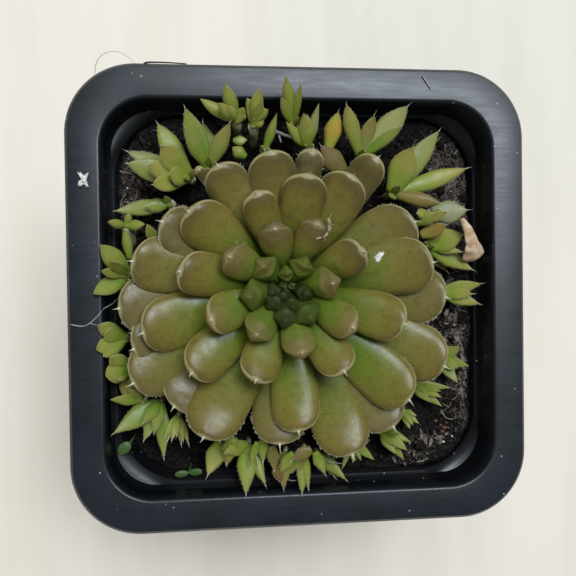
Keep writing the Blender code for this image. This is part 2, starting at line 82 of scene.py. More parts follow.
# Width and angles of the softened edges.
BEVEL = 0.38
BEVEL_ANGLE = 22.0
SHARP_ANGLE = 40.0

# The soil: its gap to the wall, its foot, its side sections, and where its top begins.
GAP = 0.34
SOIL_FOOT = (29.3, 12.0)
SOIL_SIDES = (FLOOR_Z + 1.4, -46.0, -16.0)
SOIL_EDGE = -9.0
SOIL_TOP = -7.9
SOIL_SINK = 4.6
SOIL_ROUND = 480
SOIL_RINGS = 96
SOIL_REACH = 38
CRUMBS = 1650

# The mature crown: where it stands, how it leans, its core as (radius, height), and
# tables against a leaf's reach.
CROWN_ORIGIN = (-3.6, 2.4, -2.0)
CROWN_LEAN = 5.0
CROWN_LEAN_HEADING = 255.0
CORE = ((0.9, 3.9), (2.2, 3.2), (3.4, 1.5), (4.4, -1.5), (4.0, -3.5), (2.8, -6.5), (2.8, -10.2))
SPINE = 1.2
TIP_HEIGHT = ((0, 7.0), (2, 9.4), (3, 11.0), (6, 12.7), (9, 13.8), (12, 14.1), (16, 13.5),
              (20, 12.3), (25, 10.3), (30, 8.4), (34, 7.2), (40, 5.6))
HALF_WIDTH = ((1.2, 0.9), (2.4, 1.4), (3.2, 1.7), (5, 2.3), (7, 2.7), (10, 3.0), (13, 3.2),
              (16, 3.6), (19, 4.0), (23, 4.4), (27, 5.0), (30, 5.5), (33, 5.8), (36, 5.6))
THICKNESS = ((1.2, 1.5), (2.4, 2.3), (5, 3.2), (7, 3.6), (11, 3.4), (15, 3.2), (36, 2.9))
ROOT_HEIGHT = ((0, 6.2), (6, 5.0), (12, 3.9), (20, 2.6), (28, 1.4), (36, 0.2))
ROOT_RADIUS = ((0, 0.5), (6, 1.8), (14, 2.6), (36, 3.2))

# Leaves from the heart outward: (heading in degrees, reach of the tip). A third
# number is the half width where it isn't the usual one, below 1 for a narrow bud that
# stands among the outer leaves; a fourth is how far the leaf is raised.
LEAVES = (
    (30, 1.2), (125, 1.3), (240, 1.9), (188, 3.0), (285, 3.4), (347, 3.5), (94, 3.2),
    (222, 4.1), (58, 5.6), (264, 5.8), (308, 6.6), (136, 6.8), (187, 7.6), (10, 8.5),
    (232, 10.3), (281, 11.9), (103, 12.1), (67, 13.6, 2.9),
    (149, 13.0), (330, 14.0), (199, 15.6, 3.8), (28, 15.8, 3.5), (249, 18.0), (304, 18.8),
    (108, 19.1, 3.2), (169, 20.7), (80, 21.8), (141, 23.7, 4.8), (343, 23.5), (220, 24.2),
    (60, 24.6), (97, 26.0, 4.5), (126, 28.3, 0.95), (119, 26.6, 4.1), (151, 26.9, 4.7, -1.0),
    (27, 28.0, 5.7, -1.4), (274, 28.0, 4.7), (10, 28.5, 5.5, 0.6), (196, 28.7),
    (55, 30.2, 3.3), (169, 29.7), (267, 31.2, 5.5, -1.2), (356, 31.6, 5.6, -0.8),
    (201, 31.9, 5.6, -1.5), (226, 32.1, 5.5, -1.7), (186, 32.3, 5.6, -0.8),
    (317, 32.8, 5.3, 0.8), (240, 33.0, 5.6, 1.2), (211, 34.8), (333, 35.1, 5.7, 0.6),
    (307, 35.8, 5.4, -1.1), (291, 36.1), (79, 27.0, 2.6, -2.6),
)

# Offsets: head position, foot of the stem (None is right below the head), then
# the leaves as (heading, rise above level, length, blade width).
OFFSETS = (
    ((-21.8, 23.5, -2.0), None,
     ((158, 9, 13.0, 2.9), (169, 14, 12.4, 3.8), (199, 40, 9.3, 2.8), (134, 40, 9.4, 4.1),
      (120, 9, 12.2, 3.3))),
    ((-18.2, 25.3, -1.0), None,
     ((111, 19, 12.3, 3.4), (120, 12, 9.3, 2.5), (96, -12, 10.0, 2.4), (61, 23, 10.1, 2.6))),
    ((-25.8, 18.6, -3.0), None, ((188, 5, 10.9, 2.0), (189, 21, 5.5, 1.8))),
    ((-34.3, 14.3, -3.0), (-33.8, 9.5),
     ((166, 19, 3.4, 2.0), (3, 27, 4.4, 2.3), (66, 36, 3.4, 1.6))),
    ((-33.8, 4.8, -3.0), None,
     ((128, 35, 8.7, 3.2), (170, 56, 7.3, 1.5), (131, 69, 8.6, 1.7), (211, 37, 8.4, 3.0))),
    ((-34.6, -7.5, -4.0), None,
     ((148, 50, 7.8, 2.1), (199, 50, 7.6, 2.5), (220, 47, 6.9, 1.9))),
    ((-34.0, -13.6, -5.0), None,
     ((193, 34, 5.4, 3.0), (209, 62, 5.7, 1.9), (142, 48, 5.4, 1.9), (257, 10, 5.8, 2.4))),
    ((-32.1, -20.0, -5.0), None, ((177, 7, 6.0, 2.0), (137, 37, 3.4, 2.0))),
    ((-28.5, -20.5, -5.0), None,
     ((211, 20, 11.0, 3.9), (247, 21, 8.4, 3.0), (274, 10, 11.4, 2.6))),
    ((-25.0, -23.3, -5.0), None,
     ((236, 34, 5.4, 1.6), (256, 33, 5.6, 2.0), (276, 9, 6.1, 1.4), (290, 9, 6.5, 1.4))),
    ((-16.4, -28.6, -5.0), None, ((246, 15, 7.8, 3.4), (280, 20, 5.0, 2.0))),
    ((-11.2, -29.8, -5.0), None,
     ((266, 24, 10.0, 4.3), (189, 42, 6.0, 3.1), (271, 51, 5.1, 1.6), (294, 19, 9.1, 3.1))),
    ((-3.6, -31.8, -6.0), None,
     ((226, 37, 4.9, 1.8), (267, 7, 5.5, 1.8), (259, 37, 5.0, 2.8))),
    ((0.2, -31.3, -5.0), None,
     ((263, 27, 9.0, 2.3), (274, 22, 8.2, 1.6), (223, 51, 3.9, 1.8))),
    ((2.8, -32.1, -6.0), None, ((290, 24, 4.9, 1.6), (318, 20, 8.7, 2.4))),
    ((10.4, -30.3, -6.0), None,
     ((246, 10, 6.0, 1.2), (293, 28, 4.2, 1.3), (322, 31, 5.8, 1.6))),
    ((16.8, -28.1, -6.0), None,
     ((294, 33, 5.5, 2.4), (321, 28, 6.4, 2.4), (9, 66, 5.5, 1.9))),
    ((21.1, -24.1, -6.0), None, ((302, 32, 3.8, 1.5), (340, 30, 3.2, 1.3))),
    ((23.3, -18.7, -6.0), None,
     ((322, 16, 7.5, 2.0), (348, 30, 6.1, 1.8), (355, 15, 7.9, 1.6), (306, 16, 3.6, 1.3))),
    ((29.3, -13.4, -6.0), None,
     ((302, 19, 6.2, 2.2), (327, 43, 4.4, 2.4), (39, 36, 5.1, 2.4))),
    ((29.1, 0.5, -5.0), None, ((12, 20, 8.9, 2.4), (341, 20, 8.7, 2.4))),
    ((25.6, 10.0, -3.0), None,
     ((332, 5, 11.2, 2.8), (348, 23, 7.7, 1.7), (17, 29, 8.2, 2.3), (314, -15, 7.9, 1.8),
      (53, 35, 5.2, 2.3))),
    ((26.1, 16.4, -2.0), None, ((5, 7, 8.1, 3.9), (187, 48, 6.7, 1.9), (357, 51, 3.9, 1.5))),
    ((18.0, 20.3, -1.0), None,
     ((18, 7, 16.2, 3.1), (53, 7, 15.8, 3.8), (71, 29, 10.4, 4.7), (346, 17, 10.1, 2.5))),
    ((11.7, 27.4, -1.0), None,
     ((47, 13, 13.8, 4.2), (74, 20, 8.9, 2.7), (110, 21, 11.1, 2.8))),
    ((5.4, 29.1, -2.0), None, ((77, 29, 8.2, 2.7),)),
    ((1.1, 29.3, -1.0), None,
     ((76, 27, 8.8, 1.9), (102, 42, 7.5, 2.6), (138, 34, 7.2, 2.1))),
    ((-1.6, 33.7, -1.0), (-0.6, 31.5),
     ((105, 43, 10.2, 2.6), (82, 50, 9.1, 1.6), (128, 53, 7.5, 2.0))),
    ((-9.5, 32.9, 1.0), (-9.4, 30.5),
     ((80, 41, 7.6, 2.6), (68, 55, 6.1, 2.4), (39, 50, 5.3, 1.5), (15, 50, 2.9, 1.9))),
    ((-12.7, 33.7, 1.0), (-12.6, 31.8),
     ((153, 22, 8.0, 2.4), (109, 40, 7.7, 2.8), (147, 52, 6.3, 2.2), (52, 55, 3.9, 1.9))),
    ((-7.1, 29.0, -2.0), None, ((71, 23, 7.6, 1.7),)),
    ((-28.9, 11.3, -4.0), None, ((109, 43, 4.6, 1.9),)),
)
# How finely leaves are divided: (rings along, points round).
MATURE_GRID = (38, 30)
YOUNG_GRID = (24, 20)
HEART_GRID = (14, 16)
SEED_GRID = (16, 20)
# The edge value of skin that is far from any margin.
DEEP = 9.0
STEM_RADIUS = 0.8
STEM_DEPTH = 3.0
SEED_DEPTH = 2.0
# Offsets under the crown's lower edge, which show no heart leaves.
LOW_OFFSETS = range(9, 21)
# A tip past this half width and not this far above the rim would meet the pot.
WALL = 37.4
CLEAR = 0.8

# A withered leaf that stands in the soil: (centre, half width) along its length.
DRY_LEAF = (((34.8, 6.6, -11.2), 0.6), ((34.9, 6.9, -4.0), 0.6), ((34.8, 7.4, -0.8), 2.4),
            ((34.2, 8.8, 0.8), 1.9), ((33.4, 10.4, 1.8), 1.3), ((32.3, 12.9, 2.6), 0.95),
            ((31.0, 15.0, 2.7), 0.5))
DRY_HEADING = 105.0

# Seedlings in the sunken corner: foot and height, then (heading, length, half width).
SEEDLINGS = (
    ((-34.6, -28.6, -5.6), ((222, 2.8, 1.15),)),
    ((-23.2, -35.4, -6.4), ((6, 2.7, 0.75), (184, 2.7, 0.72))),
)

# How old a leaf looks and how toothed its margin is, by its place in the table.
AGES = {30: (0.1, 0.0), 31: (0.1, 0.1), 33: (0.2, 0.2), 34: (0.85, 0.8), 35: (0.3, 0.6),
        36: (0.0, 0.2), 37: (0.15, 0.1), 38: (0.0, 0.1), 39: (0.1, 0.1), 40: (0.3, 0.1),
        41: (0.55, 0.9), 42: (0.45, 1.0), 43: (0.9, 0.9), 44: (1.0, 1.0), 45: (0.8, 1.0),
        46: (0.0, 0.2), 47: (0.1, 0.8), 48: (0.4, 1.0), 49: (0.25, 1.0), 50: (0.8, 1.0),
        51: (0.1, 0.6), 52: (0.85, 0.4)}
# Leaves that are browner (above zero) or greener than their neighbours.
CROWN_TONES = {39: 0.25, 13: 0.25, 21: 0.2, 17: 0.15, 16: 0.1, 31: 0.12, 30: 0.08, 26: 0.06,
               46: -0.12, 37: 0.0, 28: -0.05, 51: -0.05, 36: -0.06, 32: 0.5, 12: 0.1}
# Colour of each offset from green at 0 through yellow at 0.5 to brown at 1.
OFFSET_TONES = (0.25, 0.15, 0.30, 0.35, 0.25, 0.3, 0.3, 0.45, 0.12, 0.35, 0.5, 0.2, 0.45, 0.3,
                0.3, 0.25, 0.2, 0.2, 0.2, 0.2, 0.15, 0.05, 0.4, 0.3, 0.4, 0.6, 0.42, 0.35,
                0.42, 0.32, 0.35, 0.3)
# Single leaves that differ from their offset: (offset, leaf): tone.
LEAF_TONES = {(11, 0): 0.62, (1, 0): 0.2, (1, 1): 0.15, (1, 2): 0.42, (1, 3): 0.62, (2, 3): 0.7,
              (5, 1): 0.5, (5, 2): 0.5, (7, 3): 0.7, (8, 1): 0.6, (9, 0): 0.05, (12, 1): 0.62,
              (13, 0): 0.8, (14, 2): 0.8, (22, 3): 0.6, (23, 0): 0.3, (23, 1): 0.45, (23, 2): 0.6,
              (24, 0): 0.42, (24, 2): 0.60, (24, 3): 1.18, (25, 0): 0.45, (25, 1): 0.76,
              (25, 2): 0.66, (26, 0): 1.5, (29, 3): 0.5, (21, 0): 0.5, (21, 1): 0.5,
              (22, 0): 0.45, (22, 1): 0.48, (22, 2): 0.48, (22, 4): 0.48}
# Leaves with a greyish bloom: (offset, leaf): share.
PALE_LEAVES = {(1, 0): 0.4, (1, 1): 0.2, (2, 2): 0.3, (23, 0): 0.8, (25, 0): 0.35, (27, 0): 0.6,
               (24, 1): 0.2, (3, 0): 0.2}
# How full the blades of some offsets are: (breadth, where they are widest, how blunt).
FULLNESS = {1: (1.1, 0.56, 2.0), 2: (1.12, 0.50, 1.7), 3: (1.4, 0.48, 1.6), 4: (0.85, 0.45, 1.5),
            5: (1.1, 0.52, 1.8), 6: (1.25, 0.56, 2.3), 7: (1.25, 0.56, 2.3), 12: (0.85, 0.4, 1.3),
            21: (1.15, 0.45, 1.5), 22: (1.15, 0.48, 1.5), 23: (1.1, 0.50, 1.7),
            24: (1.05, 0.55, 1.8), 25: (1.0, 0.58, 2.0), 26: (1.15, 0.5, 1.6), 28: (0.95, 0.5, 1.7),
            29: (0.9, 0.55, 2.0), 30: (0.9, 0.5, 1.8)}
# Single blades that are broader than the rest: (offset, leaf): share.
BROADER = {(22, 2): 1.7, (5, 1): 1.2, (2, 2): 1.6, (9, 0): 0.95}
# Offsets whose leaves end in a thin pale spine.
SPINED = (1, 2, 3, 9, 10, 11, 12, 13, 14, 15, 21, 22, 23, 24, 25, 26)
# Offsets with plump leaves; those of the others are flatter above.
PLUMP = (4, 5, 6, 7, 8, 26, 27, 28, 29, 30, 31)
# More leaves: offset: (heading, rise, length, width, tone).
MORE_LEAVES = {
    1: ((168, 33, 9.2, 3.4, 0.40), (185, 58, 6.5, 3.0, 0.42)),
    2: ((122, 39, 9.6, 2.4, 0.2),),
    6: ((159, 56, 6.6, 2.6, 0.25), (150, 28, 6.7, 2.2, 0.3)),
    7: ((145, 38, 5.7, 2.4, 0.3),),
    8: ((132, 35, 4.5, 2.4, 0.5),),
    9: ((228, 48, 6.5, 2.4, 0.15), (262, 40, 7.0, 2.2, 0.2)),
    10: ((268, 40, 4.6, 1.3, 0.5), (284, 30, 5.4, 1.2, 0.6), (246, 20, 5.6, 1.3, 0.5)),
    12: ((176, 53, 8.1, 3.4, 0.55),),
    13: ((266, 12, 7.5, 2.2, 0.75), (290, 40, 4.6, 2.0, 0.85)),
    14: ((220, 17, 6.7, 2.4, 0.3), (246, 44, 5.4, 2.2, 0.8)),
    15: ((306, 10, 6.4, 1.6, 0.4),),
    16: ((312, 12, 4.8, 1.2, 0.3), (268, 24, 4.6, 1.2, 0.4)),
    17: ((305, 12, 7.6, 2.2, 0.2), (338, 18, 6.6, 1.8, 0.2), (308, 50, 5.0, 2.0, 0.15)),
    18: ((320, 20, 4.6, 1.4, 0.3), (288, 24, 4.4, 1.3, 0.35)),
    19: ((336, 26, 6.8, 2.0, 0.3), (312, 30, 5.6, 1.7, 0.2)),
    20: ((345, 30, 6.4, 2.0, 0.2), (315, 45, 4.6, 1.8, 0.2)),
    21: ((356, 34, 7.0, 2.2, 0.45),),
    25: ((36, 26, 10.1, 2.1, 0.2),),
    29: ((98, 31, 5.2, 2.0, 0.4),),
    30: ((128, 62, 5.0, 2.0, 0.45),),
}
# Leaves that spring from the soil beside an offset: (root, tip, width, tone).
SINGLE_LEAVES = {
    4: (((-33.9, 8.0, -4.6), (-34.6, 14.4, -2.5), 2.2, 0.35),),
    11: (((-14.2, -27.2, -1.0), (-15.4, -32.9, -3.0), 2.8, 0.62),),
    12: (((-9.5, -28.2, -1.0), (-10.9, -33.2, -1.5), 1.7, 0.20),
         ((-8.3, -27.6, -1.5), (-8.3, -32.8, -3.0), 2.6, 0.30)),
    13: (((-6.5, -29.2, -1.5), (-6.1, -34.5, -2.5), 1.9, 0.85),
         ((-5.6, -33.6, -5.0), (-4.4, -37.8, -4.6), 2.2, 0.95),
         ((-2.3, -30.7, -1.0), (-5.0, -34.9, -2.2), 2.3, 0.30),
         ((-1.0, -31.5, -1.5), (-3.3, -35.6, -3.0), 1.8, 0.25)),
    14: (((1.1, -29.9, -0.5), (-3.0, -31.9, 0.2), 2.4, 0.95),),
    15: (((2.0, -30.8, -1.5), (4.1, -35.6, -2.5), 2.0, 0.30),),
    23: (((22.8, 14.4, -0.6), (25.8, 15.9, 2.4), 2.4, 0.45),
         ((24.0, 14.8, 0.4), (27.8, 16.2, 3.0), 1.7, 0.5),
         ((23.8, 12.0, -1.0), (28.3, 13.9, 1.4), 2.6, 1.22)),
    26: (((8.2, 24.0, 0.4), (3.3, 28.8, 3.0), 3.4, 0.98),),
    27: (((0.8, 29.4, -0.5), (0.7, 34.8, 3.0), 3.2, 0.62),),
    29: (((-8.8, 34.4, 2.0), (-6.7, 35.4, 3.2), 1.9, 0.50),
         ((-9.5, 33.4, 1.5), (-7.6, 33.8, 2.2), 1.7, 0.55),
         ((-8.9, 34.2, 0.5), (-10.6, 37.8, 2.5), 2.0, 0.50)),
    30: (((-13.3, 30.5, -1.0), (-10.6, 30.7, -0.8), 2.0, 0.55),
         ((-11.0, 27.6, -2.0), (-13.5, 29.3, -1.0), 2.6, 0.30),
         ((-12.2, 33.6, 2.0), (-11.4, 35.3, 3.2), 2.2, 0.72)),
}

# Grains that stand out: (x, y, size).
WHITE_GRAINS = ((-34.7, 22.4, 0.30), (33.9, -23.3, 0.42), (30.4, -31.5, 0.34),
                (31.7, 1.8, 0.38), (32.6, 0.6, 0.30), (30.9, 1.2, 0.34), (-30.2, 9.2, 0.3),
                (32.4, -30.4, 0.2))
RED_GRAINS = ((29.0, -27.1, 0.42), (30.8, -28.5, 0.50), (30.0, -28.0, 0.30), (30.3, -29.3, 0.36),
              (26.4, -29.9, 0.45), (27.2, -30.6, 0.3), (31.4, -27.6, 0.28))
# Where fibres lie thick on the peat: (x, y, spread, how many).
FIBRE_PATCHES = ((33.0, 23.0, 3.6, 190), (34.0, 16.0, 3.0, 110), (33.5, -9.0, 3.5, 70),
                 (34.0, -20.0, 2.5, 45), (-32.5, 29.0, 3.5, 70), (-34.0, 20.0, 2.5, 70),
                 (24.0, -35.0, 3.0, 24), (0.0, 0.0, 30.0, 120))
# Where fine fluff covers the peat: (x, y, spread, how many).
FLUFF_PATCHES = ((31.0, 27.5, 3.0, 520), (33.0, 19.5, 2.2, 420), (33.5, -9.0, 2.5, 160),
                 (34.3, -18.0, 1.8, 120), (35.4, -26.0, 1.0, 120), (-33.5, 24.0, 2.6, 420),
                 (-35.0, 14.0, 1.5, 160), (31.5, 1.5, 1.5, 120), (25.0, -34.0, 3.0, 90),
                 (0.0, 0.0, 28.0, 300))
# Where pale chips lie: (x, y, spread across, spread along, how many).
CHIP_PATCHES = ((32.9, -5.5, 1.2, 1.6, 40), (33.6, -10.5, 0.9, 2.2, 44), (33.8, -15.5, 1.2, 2.5, 40),
                (35.0, -20.5, 0.8, 3.0, 34), (31.0, 28.0, 3.0, 3.0, 30), (33.0, 20.0, 1.5, 2.5, 24),
                (-33.4, -30.8, 1.0, 0.6, 5), (-33.8, 20.0, 2.0, 4.0, 24), (29.0, -30.5, 3.0, 2.0, 26),
                (20.0, -34.5, 5.0, 0.8, 20), (31.3, 1.5, 1.0, 1.2, 14), (0.0, 0.0, 26.0, 26.0, 90))
# Bright rods that lie on the peat: two ends as (x, y).
RODS = (((-33.5, 34.0), (-28.7, 35.7)), ((-36.0, 25.8), (-33.3, 24.0)),
        ((27.7, -36.3), (29.0, -38.0)), ((30.0, -24.7), (31.9, -27.7)),
        ((32.0, 18.9), (33.3, 17.4)), ((36.0, 19.6), (36.4, 15.8)), ((37.0, 16.0), (37.2, 12.6)),
        ((31.4, -7.0), (34.6, -8.4)), ((34.4, -10.0), (36.2, -12.6)), ((32.4, -33.8), (33.5, -35.0)),
        ((20.4, -33.6), (23.2, -34.9)), ((24.6, -35.6), (27.2, -35.0)))
# Larger chips: (x, y, half length, half width, heading).
BIG_CHIPS = ((33.3, -9.5, 1.9, 0.75, 80), (31.2, -4.0, 1.1, 0.6, 60), (29.5, -30.6, 0.9, 0.5, 10),
             (34.6, -14.5, 2.4, 0.45, 95), (34.9, -21.0, 2.0, 0.4, 100))

# A burr that lies on the leaves, and the papery husk: (place, length, width, heading).
BURR = (11.9, 7.4, 12.2)
HUSK_FLAKES = (((3.0, 13.7, 12.5), 1.2, 0.5, 110), ((3.1, 12.5, 12.5), 1.5, 0.6, 80),
               ((2.5, 11.3, 12.3), 1.3, 0.5, 45), ((1.3, 10.7, 12.1), 1.1, 0.35, 10))
HUSK_HAIRS = ((3.1, 14.2, 12.7), (3.4, 13.0, 12.7), (2.2, 10.9, 12.4), (-13.4, 1.4, 11.2),
              (-13.1, 0.6, 11.0), (-13.2, 10.2, 11.3), (-11.6, 9.9, 11.3))
# Threads: the radius, then the spots that they run through.
DARK_THREADS = (
    (0.045, (-39.0, 42.4, 0.1), (-38.6, 44.8, 0.15), (-37.1, 46.2, 0.6), (-34.7, 46.6, 0.7),
     (-32.6, 45.6, 0.25), (-31.0, 44.0, 0.12)),
    (0.21, (-29.9, 44.6, 0.05), (-29.2, 44.95, 0.05), (-26.0, 45.0, 0.05), (-22.0, 44.85, 0.0)),
)
ROOT_THREADS = (
    (0.16, (24.1, 43.4, 0.2), (24.9, 42.2, 0.25), (25.7, 40.9, 0.2)),
    (0.13, (-44.2, -4.4, 0.1), (-41.6, -4.7, 0.25), (-39.4, -3.1, 0.3), (-38.3, -1.6, -0.6),
     (-36.9, -0.6, -2.6), (-35.6, 1.2, -5.0)),
    (0.10, (-40.6, -4.2, 0.25), (-38.9, -4.7, -0.1), (-37.7, -4.3, -3.0)),
    (0.5, (-6.4, 33.0, -3.2), (-4.6, 32.6, -2.4), (-3.3, 32.2, -2.6), (-1.9, 31.6, -2.2),
     (-0.4, 31.0, -3.0)),
    (0.32, (-5.2, 34.0, -4.4), (-4.4, 32.5, -2.8), (-3.9, 30.6, -2.2)),
    (0.11, (-3.7, -36.6, -3.5), (-2.2, -36.9, -3.2), (-0.4, -36.7, -3.4)),
    (0.12, (4.9, -33.4, -3.0), (6.6, -33.5, -2.6), (7.8, -33.8, -2.8)),
)
# Short dark marks on the flange's side: place, length and heading.
FLANGE_RODS = ((-44.9, 30.6, -2.4, 1.8, 92), (-44.9, -27.9, -2.6, 2.8, 88),
               (45.0, -30.6, -2.6, 2.8, 91), (-44.9, 4.0, -2.8, 1.0, 90))

# Lights: (name, heading, rise, power, colour, sides in metres, seen in reflections).
LAMPS = (("window", 80, 58, WINDOW, (0.90, 0.95, 1.0), (1.4, 0.7), False),
         ("pane", 54, 67, PANE, (0.84, 0.92, 1.0), (0.90, 0.40), True),
         ("room", 232, 32, ROOM, (1.0, 0.97, 0.92), (1.4, 0.8), False))
FLOOR_REACH = 0.7
FLOOR_STEPS = 8


def lerp(table, x):
    """Read a table of (x, y) pairs as a polyline."""
    if x <= table[0][0]:
        return table[0][1]
    for (x0, y0), (x1, y1) in zip(table, table[1:]):
        if x <= x1:
            return y0 + (y1 - y0) * (x - x0) / (x1 - x0)
    return table[-1][1]


def smooth(x, low, high):
    t = max(0.0, min(1.0, (x - low) / (high - low)))
    return t * t * (3 - 2 * t)


def wave(point, size):
    """Soft noise about zero at a point, with lumps of the given size."""
    return noise.fractal(Vector(point) / size, 0.8, 2.1, 3)


def above(x, y, z):
    """A point whose height counts from the rim."""
    return Vector((x, y, RIM_Z + z))


def heading_vector(degrees, rise=0.0):
    a, r = math.radians(degrees), math.radians(rise)
    return Vector((math.cos(a) * math.cos(r), math.sin(a) * math.cos(r), math.sin(r)))


def spun(degrees, axis='Z'):
    return Matrix.Rotation(math.radians(degrees), 3, axis)


def turns(count):
    """Cosine and sine of even steps round a circle."""
    return [(math.cos(math.tau * i / count), math.sin(math.tau * i / count))
            for i in range(count)]


def jitter(rng, low, high):
    return Vector([rng.uniform(low, high) for _ in "xyz"])


def loft(rings, apex=None):
    """Skin equal rings of points; the start is capped, the end is capped or drawn to apex."""
    n = len(rings[0])
    points = [p.copy() for ring in rings for p in ring]
    faces = [tuple(reversed(range(n)))]
    for k in range(len(rings) - 1):
        for i in range(n):
            j = (i + 1) % n
            faces.append((k * n + i, k * n + j, (k + 1) * n + j, (k + 1) * n + i))
    last = (len(rings) - 1) * n
    if apex is None:
        faces.append(tuple(last + i for i in range(n)))
    else:
        points.append(apex.copy())
        faces += [(last + i, last + (i + 1) % n, len(points) - 1) for i in range(n)]
    return points, faces


def tube(points, radii, sides=6):
    """A closed tube along points, round or tapering, with a pointed far end."""
    rings = []
    for k, p in enumerate(points):
        along = (points[min(k + 1, len(points) - 1)] - points[max(k - 1, 0)]).normalized()
        side = along.orthogonal() if k == 0 else side - along * side.dot(along)
        side = side.normalized()
        other = along.cross(side)
        rings.append([p + (side * c + other * s) * radii[k] for c, s in turns(sides)])
    return loft(rings, points[-1] + (points[-1] - points[-2]).normalized() * radii[-1])


def rounded_square(half, radius, z):
    ring = []
    for corner in range(4):
        centre = Vector((half - radius, half - radius, 0))
        for i in range(CORNER_STEPS + 1):
            a = math.radians(90.0 * i / CORNER_STEPS)
            p = centre + Vector((radius * math.cos(a), radius * math.sin(a), 0))
            ring.append(spun(90.0 * corner) @ p + Vector((0, 0, z)))
    return ring


def resample(ring, count):
    """Even spacing of points along a closed outline."""
    lengths = [(ring[(i + 1) % len(ring)] - p).length for i, p in enumerate(ring)]
    step = sum(lengths) / count
    out, i, walked = [], 0, 0.0
    for k in range(count):
        while walked + lengths[i] < k * step:
            walked += lengths[i]
            i += 1
        share = (k * step - walked) / lengths[i]
        out.append(ring[i].lerp(ring[(i + 1) % len(ring)], share))
    return out


class Shape:
    """Points in millimetres, faces with a material slot, and named numbers for shaders."""

    def __init__(self, *names):
        self.points = []
        self.faces = []
        self.slots = []
        self.values = {name: [] for name in names}

    def add(self, points, faces, slot=0, **values):
        first = len(self.points)
        self.points += points
        self.faces += [tuple(first + i for i in face) for face in faces]
        self.slots += [slot] * len(faces)
        for name, store in self.values.items():
            value = values.get(name, 0.0)
            store += value if isinstance(value, list) else [value] * len(points)

    def build(self, name, materials):
        mesh = bpy.data.meshes.new(name)
        mesh.from_pydata([Vector(p) * MM for p in self.points], [], self.faces)
        for material in materials:
            mesh.materials.append(material)
        mesh.polygons.foreach_set("material_index", self.slots)
        for key, store in self.values.items():
            mesh.attributes.new(key, 'FLOAT', 'POINT').data.foreach_set("value", store)
        bm = bmesh.new()
        bm.from_mesh(mesh)
        bmesh.ops.recalc_face_normals(bm, faces=bm.faces)
        bm.to_mesh(mesh)
        bm.free()
        mesh.shade_smooth()
        return linked(bpy.data.objects.new(name, mesh))

    def dress(self, name, materials, slot, *nodes):
        return dress(self.build(name, materials), slot, *nodes)


def linked(obj):
    bpy.context.scene.collection.objects.link(obj)
    return obj


def dress(obj, slot, *nodes):
    """Say what a finished piece rides on and stands for; the slot for its finish is not used."""
    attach(obj, "root")
    if nodes:
        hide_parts(*nodes)
    return obj


class MatureForm:
    """Cross sections of a broad leaf: a narrow base, a round end, a crisp margin."""

    def __init__(self, half, length, upright, crisp):
        self.start = max(0.42, 1.0 - 1.06 * half / length)
        self.roof = 1.6 + 1.6 * (1.0 - upright)
        self.roof_power = 0.74 - 0.24 * (1.0 - upright)
        self.blunt = 2.4 - 0.6 * upright
        self.taper = 0.46 + 0.40 * upright
        self.crease = 0.56 + 0.44 * crisp
        self.keel = 2.0 - 0.95 * crisp
        self.ridge = 0.42 * crisp
        self.plain = 0.30 * upright
        self.bow = 2.0 + 2.0 * (1.0 - upright)

    def narrowed(self, t, start, full, blunt, taper):
        """A section that swells from its start until it is full, then closes at the end."""
        share = max(0.0, (t - self.start) / (1.0 - self.start))
        body = start + (1.0 - start) * smooth(t, 0.0, full)
        return body * max(0.0, 1.0 - share ** blunt) ** taper

    def width(self, t):
        return self.narrowed(t, 0.36, 0.74, self.blunt, self.taper)

    def depth(self, t):
        return self.narrowed(t, 0.42, 0.8, self.roof, self.roof_power)

    def lift(self, x, up, t):
        if up:
            dome = max(0.0, 1.0 - x * x) ** self.crease
            return 0.56 * (dome * (1.0 - self.ridge) + self.ridge * (1.0 - abs(x)))
        return -0.66 * max(0.0, 1.0 - abs(x) ** self.keel) ** self.crease


class YoungForm:
    """Cross sections of a pointed leaf: widest past the middle, over a keeled back."""
    plain = 0.0
    bow = 2.0
    foot = 0.55

    def __init__(self, cup, widest=0.42, blunt=1.35, plump=0.40):
        self.cup = cup
        self.plump = plump
        self.widest = widest
        self.blunt = blunt

    def width(self, t):
        if t < self.widest:
            return self.foot + (1.0 - self.foot) * smooth(t, -0.05, self.widest)
        return 1.0 - ((t - self.widest) / (1.0 - self.widest)) ** self.blunt

    def depth(self, t):
        return (0.75 + 0.25 * math.sin(math.pi * t)) * max(0.0, 1.0 - t ** 4) ** 0.75

    def lift(self, x, up, t):
        dome = max(0.0, 1.0 - x * x)
        if up:
            return self.plump * dome ** 0.5 - self.cup * dome * smooth(t, 0.0, 0.3)
        return -0.62 * max(0.0, 1.0 - abs(x) ** 1.6) ** 0.75


class RoundForm:
    """Cross sections of a seed leaf: an oval pad."""
    plain = 1.2
    bow = 2.0

    def width(self, t):
        return math.sqrt(max(0.0, 1.0 - abs(2.0 * t - 1.04) ** 2.3)) if t > 0.02 else 0.25

    def depth(self, t):
        return max(0.1, 1.0 - abs(2.0 * t - 1.0) ** 3)

    def lift(self, x, up, t):
        return (0.5 if up else -0.5) * max(0.0, 1.0 - x * x) ** 0.5


